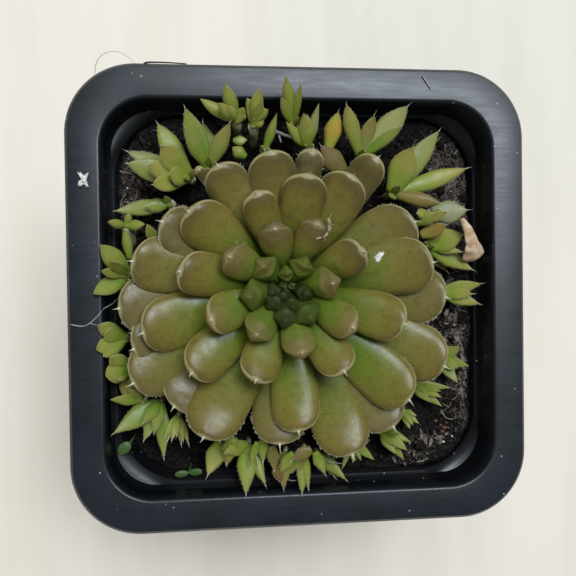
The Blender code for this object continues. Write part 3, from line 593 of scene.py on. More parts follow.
def add_leaf(shape, root, tip, heading, half, thick, sag, form, end, grid,
             place=Matrix.Identity(4), twist=0.0, ripple=0.0, **values):
    """A smooth leaf on its solid's midline; returns its end, its aim and its margin."""
    rings, sides = grid
    level = heading_vector(heading + 90.0)
    chord = tip - root
    p = form.bow
    bow = chord.cross(level).normalized() * (-sag * chord.length * (p + 1.0) ** (p + 1.0) / p ** p)
    skin, alongs, edges, margin = [], [], [], []
    for k in range(rings):
        t = 1.0 - (1.0 - k / rings) ** 1.7
        middle = root + chord * t + bow * (t ** p * (1.0 - t))
        along = (chord + bow * (p * t ** (p - 1.0) - (p + 1.0) * t ** p)).normalized()
        side = (Matrix.Rotation(twist * t, 3, along) @ level).normalized()
        normal = along.cross(side).normalized()
        w, d = half * form.width(t), thick * form.depth(t)
        ring = []
        for i, (x, _) in enumerate(turns(sides)):
            spot = middle + side * (w * x) + normal * (d * form.lift(x, i <= sides // 2, t))
            spot += normal * (ripple * wave(spot, 2.6) * smooth(w, 0.3, 1.5))
            ring.append(place @ spot)
            alongs.append(t)
            edges.append(min(w * (1.0 - abs(x)), chord.length * (1.0 - t)) + form.plain)
            if i % (sides // 2) == 0:
                out = place.to_3x3() @ (side * (1.0 if i == 0 else -1.0) + along * 0.5)
                margin.append((t, ring[-1], out))
        skin.append(ring)
    aim = (chord - bow).normalized()
    points, faces = loft(skin, place @ (tip + aim * end))
    shape.add(points, faces, 0, along=alongs + [1.0], edge=edges + [0.0], **values)
    return points[-1], place.to_3x3() @ aim, margin


def add_spine(shape, foot, aim, length, radius, rng):
    """The pale flared spine at a leaf's tip, bent a little at random."""
    drift = Vector((rng.uniform(-1, 1), rng.uniform(-1, 1), rng.uniform(-0.4, 1))) * 0.22
    shares = ((-0.30, 3.4), (0.0, 2.1), (0.14, 1.2), (0.45, 0.7), (0.8, 0.4), (1.0, 0.12))
    points = [foot + (aim + drift * max(0.0, s)) * (length * s) for s, _ in shares]
    shape.add(*tube(points, [radius * r for _, r in shares]), 1, along=1.0)


def add_teeth(shape, margin, first, last, chance, rng, size=1.0):
    """Short pale teeth along a leaf's margin between two shares of its length."""
    for (t, spot, out), (_, after, _) in zip(margin, margin[2:]):
        if not first <= t <= last:
            continue
        for k in range(3):
            if rng.random() > chance:
                continue
            foot = spot.lerp(after, k / 3.0)
            aim = out.normalized() + jitter(rng, -0.5, 0.5)
            length = rng.uniform(0.12, 0.36) * size
            points = [foot - out.normalized() * 0.1, foot + aim * (0.5 * length),
                      foot + aim * length]
            shape.add(*tube(points, (0.06 * size, 0.04 * size, 0.012), 4), 1, along=1.0)


def build_rosette(materials):
    """The mature leaves with their spines and teeth, round a core that runs into the soil."""
    rng = random.Random(SEED)
    shape = Shape("along", "edge", "tone", "age", "gloss")
    lean = Matrix.Rotation(math.radians(CROWN_LEAN), 4, heading_vector(CROWN_LEAN_HEADING + 90.0))
    place = Matrix.Translation(above(*CROWN_ORIGIN)) @ lean
    for number, item in enumerate(LEAVES):
        heading, reach, half, rise = (item + (None, 0.0)[len(item) - 2:])[:4]
        out = heading_vector(heading)
        tip = out * reach + Vector((0, 0, lerp(TIP_HEIGHT, reach) + rise))
        root = (out * lerp(ROOT_RADIUS, reach)
                + Vector((0, 0, lerp(ROOT_HEIGHT, reach) + 0.5 * rise)))
        half = half or lerp(HALF_WIDTH, reach)
        thick = lerp(THICKNESS, reach) if half > 1.0 or reach < 3.0 else 1.5
        tip = tip - (tip - root).normalized() * SPINE
        upright = 1.0 - smooth(reach, 4.0, 14.0)
        sag = 0.060 + 0.05 * max(0.0, 1.0 - reach / 20.0) + 0.065 * upright
        half *= 1.0 + 0.18 * upright
        thick *= 1.0 + 0.20 * upright
        form = MatureForm(half, (tip - root).length, upright, 1.0 - smooth(reach, 7.0, 17.0))
        age, teeth = AGES.get(number, (0.0, 0.0))
        # Leaves toward +y turn browner and small ones toward -y greener; the upright heart leaves get
        # a low tone, which paints them darker as shade.
        side_tint_heart_shade = 0.20 * max(out.y, -0.3 * (1.0 - smooth(reach, 8.0, 14.0))) - 0.50 * upright
        tone = CROWN_TONES.get(number, 0.0) + rng.uniform(-0.05, 0.05) + side_tint_heart_shade
        foot, aim, margin = add_leaf(
            shape, root, tip, heading, half, thick, sag, form, 0.12, MATURE_GRID, place,
            twist=math.radians(rng.uniform(-9, 9)), ripple=0.06 + 0.10 * age,
            tone=tone, age=age, gloss=smooth(reach, 10.0, 26.0))
        if reach < 8.0 or half < 1.2:
            continue
        length = rng.uniform(1.1, 1.6) if reach > 12 else 0.4 + 0.04 * reach
        add_spine(shape, foot, aim, length, 0.14 if reach > 12 else 0.09, rng)
        add_teeth(shape, margin, 0.78, 0.985, 0.75 * teeth, rng)
    x, y, _ = CROWN_ORIGIN
    core = [[above(x + r * c, y + r * s, z) for c, s in turns(20)] for r, z in CORE]
    shape.add(*loft(core), 0, along=0.25, edge=DEEP)
    shape.dress("rosette_leaves", materials, "mature_leaf", "rosette")


def over_rim(tip):
    """A tip that would meet the pot's wall, slid toward the eye until it is above the rim."""
    if max(abs(tip.x), abs(tip.y)) < WALL or tip.z > RIM_Z + CLEAR:
        return tip
    eye = Vector(CAMERA_PLACE) / MM
    return eye + (tip - eye) * ((RIM_Z + CLEAR - eye.z) / (tip.z - eye.z))


def build_offset(number, materials):
    """A young rosette: its leaves from the tables, two upright heart leaves and a stem."""
    rng = random.Random(SEED + 100 * number)
    shape = Shape("along", "edge", "tone", "pale")
    head, foot, seen = OFFSETS[number - 1]
    top = above(*head)
    base_tone = OFFSET_TONES[number - 1]
    full, widest, blunt = FULLNESS.get(number, (1.08, 0.42, 1.35))
    plump = 0.52 if number in PLUMP else 0.38
    spined, low = number in SPINED, number in LOW_OFFSETS
    leaves = []
    for k, (heading, rise, length, width) in enumerate(seen):
        tone = LEAF_TONES.get((number, k), base_tone + rng.uniform(-0.08, 0.08))
        along = heading_vector(heading, rise)
        leaves.append((top + along * 0.2, top + along * (length - (0.5 if spined else 0.0)),
                       width * BROADER.get((number, k), 1.0), tone, k))
    for heading, rise, length, width, tone in MORE_LEAVES.get(number, ()):
        along = heading_vector(heading, rise)
        leaves.append((top + along * 0.2, top + along * (length - 0.3), width, tone, None))
    for root, tip, width, tone in SINGLE_LEAVES.get(number, ()):
        leaves.append((above(*root), above(*tip), width, tone, None))
    for root, tip, width, tone, k in leaves:
        tip = over_rim(tip)
        heading = math.degrees(math.atan2(tip.y - root.y, tip.x - root.x))
        sag, cup = 0.03 + 0.03 * rng.random(), rng.uniform(0.0, 0.26)
        end, aim, margin = add_leaf(
            shape, root, tip, heading, 0.55 * width * full, 0.9 + 0.42 * width, sag,
            YoungForm(cup, widest, blunt, plump), 0.12, YOUNG_GRID,
            twist=math.radians(rng.uniform(-16, 16)), ripple=0.05, tone=tone,
            pale=PALE_LEAVES.get((number, k), 0.0))
        if spined:
            add_spine(shape, end, aim, rng.uniform(0.6, 1.0), 0.045, rng)
            add_teeth(shape, margin, 0.35, 0.97, 0.4, rng, 0.5)
    for k in range(0 if low else 2):
        heading = 180.0 * k + 40.0 * number
        along = heading_vector(heading, 70 + 6 * k)
        length = (0.32 - 0.05 * k) * max(item[2] for item in seen)
        add_leaf(shape, top + along * 0.1, top + along * length, heading, 0.12 * length + 0.3,
                 1.0, 0.05, YoungForm(0.1), 0.1, HEART_GRID, tone=base_tone + 0.05)
    x, y = foot or head[:2]
    base = above(x, y, soil_height(x, y) - STEM_DEPTH)
    points, radii = [], []
    for s in (0.0, 0.35, 0.7, 1.0):
        points.append(base.lerp(top, s) + Vector((0.35, 0.25, 0)) * math.sin(math.pi * s))
        radii.append(STEM_RADIUS * (0.85 + (-0.3 if low else 0.45) * s * s))
    shape.add(*tube(points, radii, 10), 2, along=0.1, tone=base_tone)
    name = "offset_%02d" % number
    shape.dress(name + "_leaves", materials, "young_leaf", name)


def build_seedling(number, foot, leaves, materials):
    """A thin stalk with one or two round seed leaves."""
    shape = Shape("along", "edge", "tone", "pale")
    x, y, z = foot
    top, ground = above(x, y, z), soil_height(x, y)
    stalk = tube([above(x, y, ground - SEED_DEPTH), above(x + 0.1, y, ground + 0.5), top],
                 (0.30, 0.24, 0.26), 10)
    shape.add(*stalk, 0, along=0.1, edge=DEEP, tone=-0.3)
    for heading, length, half in leaves:
        add_leaf(shape, top, top + heading_vector(heading, 8) * length, heading, half, 0.62,
                 0.03, RoundForm(), 0.05, SEED_GRID, tone=-0.3, pale=0.0)
    node = "seedling_%d" % number
    shape.dress(node + "_leaves", materials, "seed_leaf", node)


def build_dry_leaf(materials):
    """The withered leaf: the folded blade of its solid, finely crumpled."""
    side = heading_vector(DRY_HEADING - 90.0)
    count = 26
    rings, shares = [], []
    for k in range(count + 1):
        s = k / count * (len(DRY_LEAF) - 1)
        i = min(int(s), len(DRY_LEAF) - 2)
        (c0, h0), (c1, h1) = DRY_LEAF[i], DRY_LEAF[i + 1]
        centre = above(*c0).lerp(above(*c1), s - i)
        up = side.cross((Vector(c1) - Vector(c0)).normalized()).normalized()
        half = h0 + (h1 - h0) * smooth(s - i, 0.0, 1.0)
        thick = 0.32 if half > 1 else 0.5
        ring = []
        for x, z in turns(24):
            p = centre + side * (half * x) + up * (0.22 * half * (1 - abs(x)) + thick * z - 0.3)
            ring.append(p + up * (0.30 * wave(p, 1.5) * smooth(half, 0.6, 2.0)))
        rings.append(ring)
        shares += [k / count] * len(ring)
    shape = Shape("along")
    shape.add(*loft(rings), 0, along=shares)
    shape.dress("dry_leaf_blade", materials, "dry_leaf", "dry_leaf")


def pot_ring(first, across, down):
    """A ring between two of the pot's sections, by shares of the way in and down."""
    (h0, r0, z0), (h1, r1, z1) = POT_SECTIONS[first:first + 2]
    return rounded_square(h0 + (h1 - h0) * across, r0 + (r1 - r0) * across,
                          RIM_Z + z0 + (z1 - z0) * down)


def build_pot(materials):
    """The pot from its own sections, with finer corners, a rolled ledge and soft edges."""
    rings = [rounded_square(h, r, RIM_Z + z) for h, r, z in POT_SECTIONS]
    ledge = []
    for s in (0.15, 0.3, 0.45, 0.6, 0.75, 0.9, 1.0):
        ring = pot_ring(LEDGE, s, s)
        for p in ring:
            p.z -= LEDGE_DROP * s * s * smooth(min(abs(p.x), abs(p.y)), 24.0, 29.0)
        ledge.append(ring)
    rings[LEDGE + 1:LEDGE + 2] = ledge
    rings[LIP + 1:LIP + 1] = [pot_ring(LIP, math.sin(a), 1.0 - math.cos(a))
                              for a in map(math.radians, (18.0, 36.0, 54.0, 72.0))]
    shape = Shape()
    shape.add(*loft(rings))
    pot = shape.build("pot_shell", materials)
    cutters = []
    for x, y in DRAIN_SPOTS:
        for quarter in range(4):
            spot = spun(90.0 * quarter) @ Vector((x, y, 0))
            bpy.ops.mesh.primitive_cylinder_add(vertices=32, radius=DRAIN_RADIUS * MM,
                                                depth=DRAIN_CUT * MM, location=spot * MM)
            cutters.append(bpy.context.object)
            hole = pot.modifiers.new("drain", 'BOOLEAN')
            hole.operation = 'DIFFERENCE'
            hole.object = cutters[-1]
    edge = pot.modifiers.new("soft_edges", 'BEVEL')
    edge.width = BEVEL * MM
    edge.segments = 3
    edge.limit_method = 'ANGLE'
    edge.angle_limit = math.radians(BEVEL_ANGLE)
    edge.use_clamp_overlap = True
    bpy.context.view_layer.update()
    mesh = bpy.data.meshes.new_from_object(
        pot.evaluated_get(bpy.context.evaluated_depsgraph_get()))
    pot.modifiers.clear()
    pot.data = mesh
    mesh.shade_smooth()
    mesh.set_sharp_from_angle(angle=math.radians(SHARP_ANGLE))
    for cutter in cutters:
        bpy.data.objects.remove(cutter, do_unlink=True)
    dress(pot, "pot_plastic", "pot")


def soil_height(x, y):
    """Height of the soil's top from the rim: low swells and a sunken corner."""
    swell = 0.45 * math.sin(0.21 * x + 1.3) * math.cos(0.17 * y - 0.4)
    swell += 0.30 * math.sin(0.47 * x - 0.31 * y + 0.7) + 0.2 * math.cos(0.63 * y + 0.29 * x)
    corner = max(0.0, min(1.0, (-x - y - 34.0) / 26.0))
    return SOIL_TOP + swell - SOIL_SINK * corner * corner * (3 - 2 * corner)


def peat_spot(x, y, lift=0.0):
    """A point on the broken top of the peat, which has crumbs and pits."""
    rough = 0.65 * wave((x, y, 3.0), 3.2) + 0.45 * wave((x, y, 9.0), 1.1)
    return above(x, y, soil_height(x, y) + rough + lift)


def wall_at(z):
    """Inner half width and corner radius of the pot's body at a height from the rim."""
    (h0, r0, z0), (h1, r1, z1) = POT_SECTIONS[13:15]
    s = (z - z0) / (z1 - z0)
    return h0 + (h1 - h0) * s, r0 + (r1 - r0) * s


def build_soil(materials):
    """The block of peat: finely broken on top, plain where the pot hides it."""
    rings = [rounded_square(*SOIL_FOOT, RIM_Z + FLOOR_Z + GAP)]
    for z in SOIL_SIDES:
        h, r = wall_at(z)
        rings.append(rounded_square(h - GAP - 0.05, r - GAP, RIM_Z + z))
    h, r = wall_at(SOIL_EDGE)
    rings = [resample(ring, SOIL_ROUND) for ring in rings]
    edge = resample(rounded_square(h - GAP - 0.1, r - GAP, 0.0), SOIL_ROUND)
    for k in range(SOIL_RINGS):
        share = 1.0 - k / SOIL_RINGS
        rings.append([peat_spot(p.x * share, p.y * share) for p in edge])
    shape = Shape("tone")
    shape.add(*loft(rings, peat_spot(0, 0)))
    shape.dress("soil_bed", materials, "potting_soil", "soil")


def inside_pot(x, y, margin):
    """True where a point on the soil is clear of the pot's wall."""
    h, r = wall_at(SOIL_EDGE)
    h -= margin
    return math.hypot(max(0.0, abs(x) - (h - r)), max(0.0, abs(y) - (h - r))) < r


def lump(centre, size, rng, steps=2):
    """An uneven pebble-like lump."""
    bm = bmesh.new()
    bmesh.ops.create_icosphere(bm, subdivisions=steps, radius=1.0)
    stretch = jitter(rng, 0.6, 1.25)
    spin = Matrix.Rotation(rng.uniform(0, math.tau), 3, jitter(rng, -1, 1))
    shift = jitter(rng, 0, 99)
    points = []
    for v in bm.verts:
        rough = 1.0 + 0.45 * noise.noise(v.co * 1.6 + shift)
        points.append(Vector(centre) + spin @ (v.co * stretch * rough) * size)
    faces = [tuple(v.index for v in f.verts) for f in bm.faces]
    bm.free()
    return points, faces


def crumb_spots(rng):
    """Places and sizes of loose crumbs all over the soil, every seventh a large one."""
    for k in range(CRUMBS):
        while True:
            x, y = (rng.uniform(-SOIL_REACH, SOIL_REACH) for _ in "xy")
            if inside_pot(x, y, 1.0):
                break
        yield x, y, (0.7 if k % 7 == 0 else 0.2) + 0.55 * rng.random() ** 2.5


def build_lumps(name, spots, rng, lift, material):
    shape = Shape("tone")
    for x, y, size in spots:
        shape.add(*lump(peat_spot(x, y, lift * size), size, rng), tone=rng.random())
    shape.dress(name, [material], "potting_soil")


def patch_spots(patches, margin, rng):
    """Places scattered about the middle of each patch, which are clear of the wall."""
    for cx, cy, *spreads, count in patches:
        for _ in range(count):
            x, y = cx + rng.gauss(0, spreads[0]), cy + rng.gauss(0, spreads[-1])
            if inside_pot(x, y, margin):
                yield x, y


def build_chips(material):
    """Pale chips of bark among the peat."""
    rng = random.Random(SEED + 6)
    shape = Shape("tone")
    for x, y in patch_spots(CHIP_PATCHES, 1.2, rng):
        size = 0.18 + 0.42 * rng.random() ** 2
        points, faces = lump((0, 0, 0), size, rng)
        spin = (Matrix.Rotation(rng.uniform(0, math.tau), 3, 'Z')
                @ Matrix.Rotation(rng.uniform(-0.7, 0.7), 3, 'Y'))
        foot = peat_spot(x, y, 0.4 * size)
        long, flat = rng.uniform(1.2, 3.2), rng.uniform(0.35, 0.8)
        points = [foot + spin @ Vector((p.x * long, p.y * 0.8, p.z * flat))
                  + Vector((0, 0, 0.12 * wave((p.x * long, p.y, p.z), 0.7))) for p in points]
        shape.add(points, faces, tone=rng.random())
    for x, y, long, wide, heading in BIG_CHIPS:
        points, faces = lump((0, 0, 0), 1.0, rng, 3)
        foot = peat_spot(x, y, 0.5)
        shape.add([foot + spun(heading) @ Vector((p.x * long, p.y * wide, p.z * 0.35))
                   for p in points], faces, tone=1.0)
    shape.dress("soil_chips", [material], "potting_soil")


def add_fibre(shape, x, y, heading, length, radius, tone, rng, steps=6, sides=5):
    """A thin bent fibre that follows the top of the peat."""
    points = []
    for k in range(steps + 1):
        points.append(peat_spot(x, y, 0.12 + 0.25 * rng.random() * length / 3.0))
        heading += rng.uniform(-22, 22)
        step = heading_vector(heading) * (length / steps)
        if inside_pot(x + step.x, y + step.y, 0.7):
            x, y = x + step.x, y + step.y
        else:
            heading += 180
    if all((b - a).length > 0.01 for a, b in zip(points, points[1:])):
        radii = [radius * (1.0 - 0.08 * k) for k in range(steps + 1)]
        shape.add(*tube(points, radii, sides), 0, tone=tone)


def build_fibres(materials):
    """Fibres and fluff in patches, and single bright rods on the peat."""
    rng = random.Random(SEED + 3)
    shape = Shape("tone")
    # Lengths, radii, then the darkest tone with its power, then steps and sides.
    kinds = ((FIBRE_PATCHES, (1.0, 4.8), (0.05, 0.15), (0.0, 1.3), (6, 5)),
             (FLUFF_PATCHES, (0.5, 1.8), (0.03, 0.055), (0.25, 1.0), (3, 3)))
    for patches, length, radius, (darkest, power), detail in kinds:
        for x, y in patch_spots(patches, 0.8, rng):
            add_fibre(shape, x, y, rng.uniform(0, 360), rng.uniform(*length),
                      rng.uniform(*radius), darkest + (1.0 - darkest) * rng.random() ** power,
                      rng, *detail)
    for (x0, y0), (x1, y1) in RODS:
        heading = math.degrees(math.atan2(y1 - y0, x1 - x0))
        add_fibre(shape, x0, y0, heading, math.hypot(x1 - x0, y1 - y0), 0.2, 0.9, rng)
    shape.dress("soil_fibres", materials, "potting_soil")


def add_path(shape, radius, *spots):
    """A thread through spots (x, y, height from the rim), smoothed between them."""
    points = []
    spots = [above(*spot) for spot in spots]
    for k in range(len(spots) - 1):
        a, b = spots[max(k - 1, 0)], spots[k]
        c, d = spots[k + 1], spots[min(k + 2, len(spots) - 1)]
        for i in range(6):
            t = i / 6
            points.append(0.5 * (2 * b + (c - a) * t + (2 * a - 5 * b + 4 * c - d) * t * t
                                 + (3 * b - a - 3 * c + d) * t ** 3))
    points.append(spots[-1])
    shape.add(*tube(points, [radius * (1.0 - 0.5 * k / len(points)) for k in range(len(points))]))


def add_flake(shape, spot, length, width, heading, rng, thick=0.12, spikes=0.0):
    """A small curled scrap with a ragged outline."""
    centre, along, side = above(*spot), heading_vector(heading), heading_vector(heading + 90)
    outline = []
    for i, (x, y) in enumerate(turns(18)):
        r = 1.0 + (0.30 - 0.2 * spikes) * rng.uniform(-1, 1)
        r += spikes * math.cos(4 * math.tau * i / 18 - 2.4)
        outline.append((x * r, y * r))
    rings = []
    for share, lift in ((0.02, -0.5), (0.6, -0.5), (1.0, 0.0), (0.6, 0.5), (0.02, 0.5)):
        ring = []
        for x, y in outline:
            u, v = x * share, y * share
            curl = 0.35 * v * v * width + 0.10 * math.sin(5 * u + 2 * v)
            ring.append(centre + along * (u * length / 2) + side * (v * width / 2)
                        + Vector((0, 0, curl + lift * thick)))
        rings.append(ring)
    shape.add(*loft(rings))


def build_debris(white, dark, grey, paper):
    """What lies on the rim and leaves: a scrap, a rod, a hair, root threads and burrs."""
    rng = random.Random(SEED + 5)
    scraps, husk, threads, roots = (Shape("tone") for _ in range(4))
    add_flake(scraps, (-41.3, 22.7, 0.25), 2.7, 1.9, 96, rng, spikes=0.42)
    add_flake(scraps, (-41.1, 22.9, 0.40), 1.5, 0.9, 70, rng)
    add_flake(scraps, BURR, 2.4, 1.0, 45, rng, 0.3)
    for spot, length, width, heading in HUSK_FLAKES:
        add_flake(husk, spot, length, width, heading, rng, 0.2)
    for spot in HUSK_HAIRS:
        for k in range(3):
            foot = Vector(spot)
            tip = foot + heading_vector(rng.uniform(0, 360), 20) * rng.uniform(0.5, 1.1)
            bend = foot.lerp(tip, 0.5) + heading_vector(rng.uniform(0, 360)) * 0.2
            add_path(husk, 0.035, foot, bend, tip)
    husk.dress("papery_husk", [paper], "dry_leaf")
    for k in range(9):
        a = rng.uniform(0, 360)
        tip = heading_vector(a, rng.uniform(-10, 50)) * rng.uniform(0.5, 1.0)
        foot = Vector(BURR) + heading_vector(45) * rng.uniform(-1.0, 1.0)
        add_path(scraps, 0.07, foot, foot + tip)
    scraps.dress("pale_scraps", [white], "dry_leaf")
    for radius, *spots in DARK_THREADS:
        add_path(threads, radius, *spots)
    for x, y, z, length, heading in FLANGE_RODS:
        reach = heading_vector(heading) * length / 2
        mid = Vector((x, y, z))
        add_path(threads, 0.16, mid - reach, mid + Vector((x, 0, 0)) * 0.006, mid + reach)
    threads.dress("dark_threads", [dark], "pot_plastic")
    for radius, *spots in ROOT_THREADS:
        add_path(roots, radius, *spots)
    roots.dress("root_threads", [grey], "dry_leaf")


class Graph:
    """A short way to write the nodes of one material; sizes are millimetres."""

    def __init__(self, name):
        self.material = bpy.data.materials.new(name)
        self.material.use_nodes = True
        self.nodes = self.material.node_tree.nodes
        self.links = self.material.node_tree.links
        self.shader = self.nodes["Principled BSDF"]
        self.place = self.nodes.new("ShaderNodeTexCoord").outputs["Object"]

    def plug(self, socket, value):
        if isinstance(value, bpy.types.NodeSocket):
            self.links.new(value, socket)
        else:
            socket.default_value = value

    def noise(self, size, detail=3.0, rough=0.55, stretch=None):
        """Noise about 0.5 with lumps of a size, stretched along an axis where asked."""
        node = self.nodes.new("ShaderNodeTexNoise")
        place = self.place
        if stretch:
            mapping = self.nodes.new("ShaderNodeMapping")
            mapping.inputs["Scale"].default_value = stretch
            self.plug(mapping.inputs["Vector"], place)
            place = mapping.outputs["Vector"]
        self.plug(node.inputs["Vector"], place)
        node.inputs["Scale"].default_value = 1.0 / (size * MM)
        node.inputs["Detail"].default_value = detail
        node.inputs["Roughness"].default_value = rough
        return node.outputs["Fac"]

    def cells(self, size):
        """Distance from the nearest of many scattered points."""
        node = self.nodes.new("ShaderNodeTexVoronoi")
        self.plug(node.inputs["Vector"], self.place)
        node.inputs["Scale"].default_value = 1.0 / (size * MM)
        return node.outputs["Distance"]

    def value(self, name):
        node = self.nodes.new("ShaderNodeAttribute")
        node.attribute_name = name
        return node.outputs["Fac"]

    def axis(self, name, vector=None):
        """One part of the place in metres, or of another vector."""
        split = self.nodes.new("ShaderNodeSeparateXYZ")
        self.plug(split.inputs[0], self.place if vector is None else vector)
        return split.outputs[name]

    def upward(self):
        return self.axis("Z", self.nodes.new("ShaderNodeNewGeometry").outputs["Normal"])

    def span(self, x, low, high, start=0.0, end=1.0):
        """A smooth step of x between two values."""
        node = self.nodes.new("ShaderNodeMapRange")
        node.interpolation_type = 'SMOOTHSTEP'
        for socket, value in zip(node.inputs, (x, low, high, start, end)):
            self.plug(socket, value)
        return node.outputs[0]

    def rough(self, x, low, high):
        """Roughness between two values as noise goes from low to high."""
        return self.span(x, 0.3, 0.7, low, high)

    def math(self, operation, a, *others):
        """Chain one operation over any number of values."""
        for b in others or (0.0,):
            node = self.nodes.new("ShaderNodeMath")
            node.operation = operation
            self.plug(node.inputs[0], a)
            self.plug(node.inputs[1], b)
            a = node.outputs[0]
        return a

    def plus(self, *values):
        return self.math('ADD', *values)

    def times(self, *values):
        return self.math('MULTIPLY', *values)

    def mix(self, share, a, b):
        node = self.nodes.new("ShaderNodeMix")
        node.data_type = 'RGBA'
        self.plug(node.inputs[0], share)
        for socket, value in ((node.inputs[6], a), (node.inputs[7], b)):
            self.plug(socket, (*value, 1.0) if isinstance(value, tuple) else value)
        return node.outputs[2]

    def coats(self, body, *coats):
        """Lay colours over the body in turn, each by its own smooth step."""
        for colour, *step in coats:
            body = self.mix(self.span(*step), body, colour)
        return body

    def finish(self, colour, roughness, height=None, strength=0.3, depth=0.1, **fixed):
        """Colour and roughness from the graph; bump from a height; the rest are numbers."""
        self.plug(self.shader.inputs["Base Color"], colour)
        self.plug(self.shader.inputs["Roughness"], roughness)
        if height is not None:
            bump = self.nodes.new("ShaderNodeBump")
            bump.inputs["Strength"].default_value = strength
            bump.inputs["Distance"].default_value = depth * MM
            self.plug(bump.inputs["Height"], height)
            self.plug(self.shader.inputs["Normal"], bump.outputs["Normal"])
        for name, value in fixed.items():
            self.shader.inputs[name.replace("_", " ")].default_value = value
        return self.material


# How far light goes under the skin of a fleshy leaf.
FLESH = {"Subsurface_Radius": (0.9, 1.2, 0.4), "Subsurface_Scale": 0.0012}


def mature_leaf_material():
    """Green at the foot, olive brown at the end, a grey bloom on old leaves, a pale margin, and
    painted shade at the feet and in the heart.
    """
    g = Graph("mature_leaf_skin")
    along, tone, age, edge, gloss = map(g.value, ("along", "tone", "age", "edge", "gloss"))
    patch, grain = g.noise(4.0, 4.0), g.noise(0.32, 2.0)
    reach = g.plus(g.math('SUBTRACT', g.times(along, 1.35), 0.24),
                   g.times(g.math('SUBTRACT', patch, 0.5), 0.5), tone,
                   g.span(edge, 2.4, 0.2, 0.0, 0.22), g.span(gloss, 0.0, 0.85, -0.20, 0.0))
    body = g.coats((0.112, 0.168, 0.012),
                   ((0.165, 0.156, 0.024), reach, 0.30, 0.80),
                   ((0.173, 0.131, 0.025), reach, 0.66, 1.15),
                   ((0.118, 0.086, 0.026), reach, 1.05, 1.45))
    old = g.coats((0.135, 0.110, 0.045), ((0.175, 0.145, 0.075), patch, 0.35, 0.65))
    body = g.mix(g.times(age, 0.75), body, old)
    # Darker green toward each leaf's foot, less on outer leaves: partly the leaf's own deeper green,
    # partly painted shade under the leaves above.
    foot = g.times(g.span(along, 0.70, 0.25, 0.0, 0.65), g.span(gloss, 0.3, 1.0, 1.0, 0.45))
    body = g.coats(g.mix(foot, body, (0.047, 0.090, 0.007)),
                   ((0.34, 0.32, 0.16), grain, 0.58, 0.78, 0.0, 0.26),
                   ((0.05, 0.058, 0.013), grain, 0.45, 0.28, 0.0, 0.35),
                   ((0.060, 0.070, 0.014), g.noise(1.3, 3.0), 0.52, 0.34, 0.0, 0.30),
                   # Low tones, on the heart's leaves: dark olive that is partly their own colour and
                   # partly painted shade, then near black as painted shade in the very heart.
                   ((0.034, 0.050, 0.010), tone, -0.10, -0.46, 0.0, 0.80),
                   ((0.012, 0.017, 0.005), tone, -0.44, -0.54, 0.0, 0.6))
    rim = g.times(g.span(edge, 0.26, 0.02), g.span(along, 0.60, 0.92, 0.0, 0.82),
                  g.span(gloss, 0.02, 0.45, 0.22, 1.0))
    blush = g.times(g.span(along, 0.52, 1.00, 0.0, 0.5), g.span(gloss, 0.30, 0.0),
                    g.span(tone, -0.32, -0.12))
    point = g.times(g.span(along, 0.985, 1.0, 0.0, 0.6), g.span(gloss, 0.0, 0.3, 0.4, 1.0))
    body = g.mix(rim, body, (0.38, 0.34, 0.16))
    body = g.mix(blush, body, (0.180, 0.136, 0.066))
    body = g.mix(point, body, (0.30, 0.26, 0.14))
    rough = g.plus(g.rough(g.noise(1.0, 4.0), 0.27, 0.38), g.span(gloss, 0.0, 1.0, 0.22, 0.0))
    return g.finish(body, rough, g.noise(0.35, 3.0), 0.32, 0.06, Subsurface_Weight=0.08,
                    Specular_IOR_Level=0.50, **FLESH)


def spine_material():
    g = Graph("spine_horn")
    body = g.mix(g.noise(0.4, 2.0), (0.46, 0.42, 0.26), (0.66, 0.63, 0.48))
    return g.finish(body, g.rough(g.noise(0.3), 0.35, 0.55), Subsurface_Weight=0.2,
                    Subsurface_Radius=(0.8, 0.7, 0.4), Subsurface_Scale=0.0006)


def young_leaf_material():
    """From bright green through yellow to orange brown, darker just inside the margin and paler along
    it: painted shade and a painted highlight, partly the margin's own colour.
    """
    g = Graph("young_leaf_skin")
    along, tone, pale, edge = map(g.value, ("along", "tone", "pale", "edge"))
    patch, grain = g.noise(2.2, 4.0), g.noise(0.25, 2.0)
    reach = g.plus(along, g.times(g.math('SUBTRACT', patch, 0.5), 0.6))
    green = g.coats((0.125, 0.215, 0.020), ((0.215, 0.250, 0.050), reach, 0.15, 0.95))
    yellow = g.coats((0.190, 0.270, 0.028), ((0.315, 0.300, 0.066), reach, 0.10, 0.9))
    brown = g.coats((0.150, 0.130, 0.034), ((0.165, 0.110, 0.040), reach, 0.05, 0.8))
    glow = g.times(g.span(reach, 0.20, 0.50), g.span(reach, 0.90, 0.60))
    amber = g.mix(glow, (0.38, 0.37, 0.050), (0.46, 0.31, 0.042))
    body = g.coats(green, (yellow, tone, 0.05, 0.5), (brown, tone, 0.5, 0.95),
                   (amber, tone, 1.1, 1.4),
                   ((0.052, 0.103, 0.028), tone, -0.05, -0.25),
                   ((0.20, 0.125, 0.060), along, 0.88, 1.0, 0.0, 0.45),
                   # Painted shade, partly a browner margin: a darker band just inside the margin.
                   ((0.120, 0.095, 0.028), edge, 1.0, 0.2, 0.0, 0.16))
    body = g.coats(g.mix(pale, body, (0.23, 0.24, 0.135)),
                   ((0.36, 0.36, 0.15), grain, 0.56, 0.76, 0.0, 0.22),
                   # A pale margin line, partly its own colour and partly a painted highlight along
                   # the rim.
                   ((0.44, 0.42, 0.20), edge, 0.12, 0.02, 0.0, 0.35))
    return g.finish(body, g.rough(g.noise(1.2, 3.0), 0.32, 0.44), g.noise(0.25, 3.0), 0.20,
                    0.05, Specular_IOR_Level=0.42, Subsurface_Weight=0.12, **FLESH)


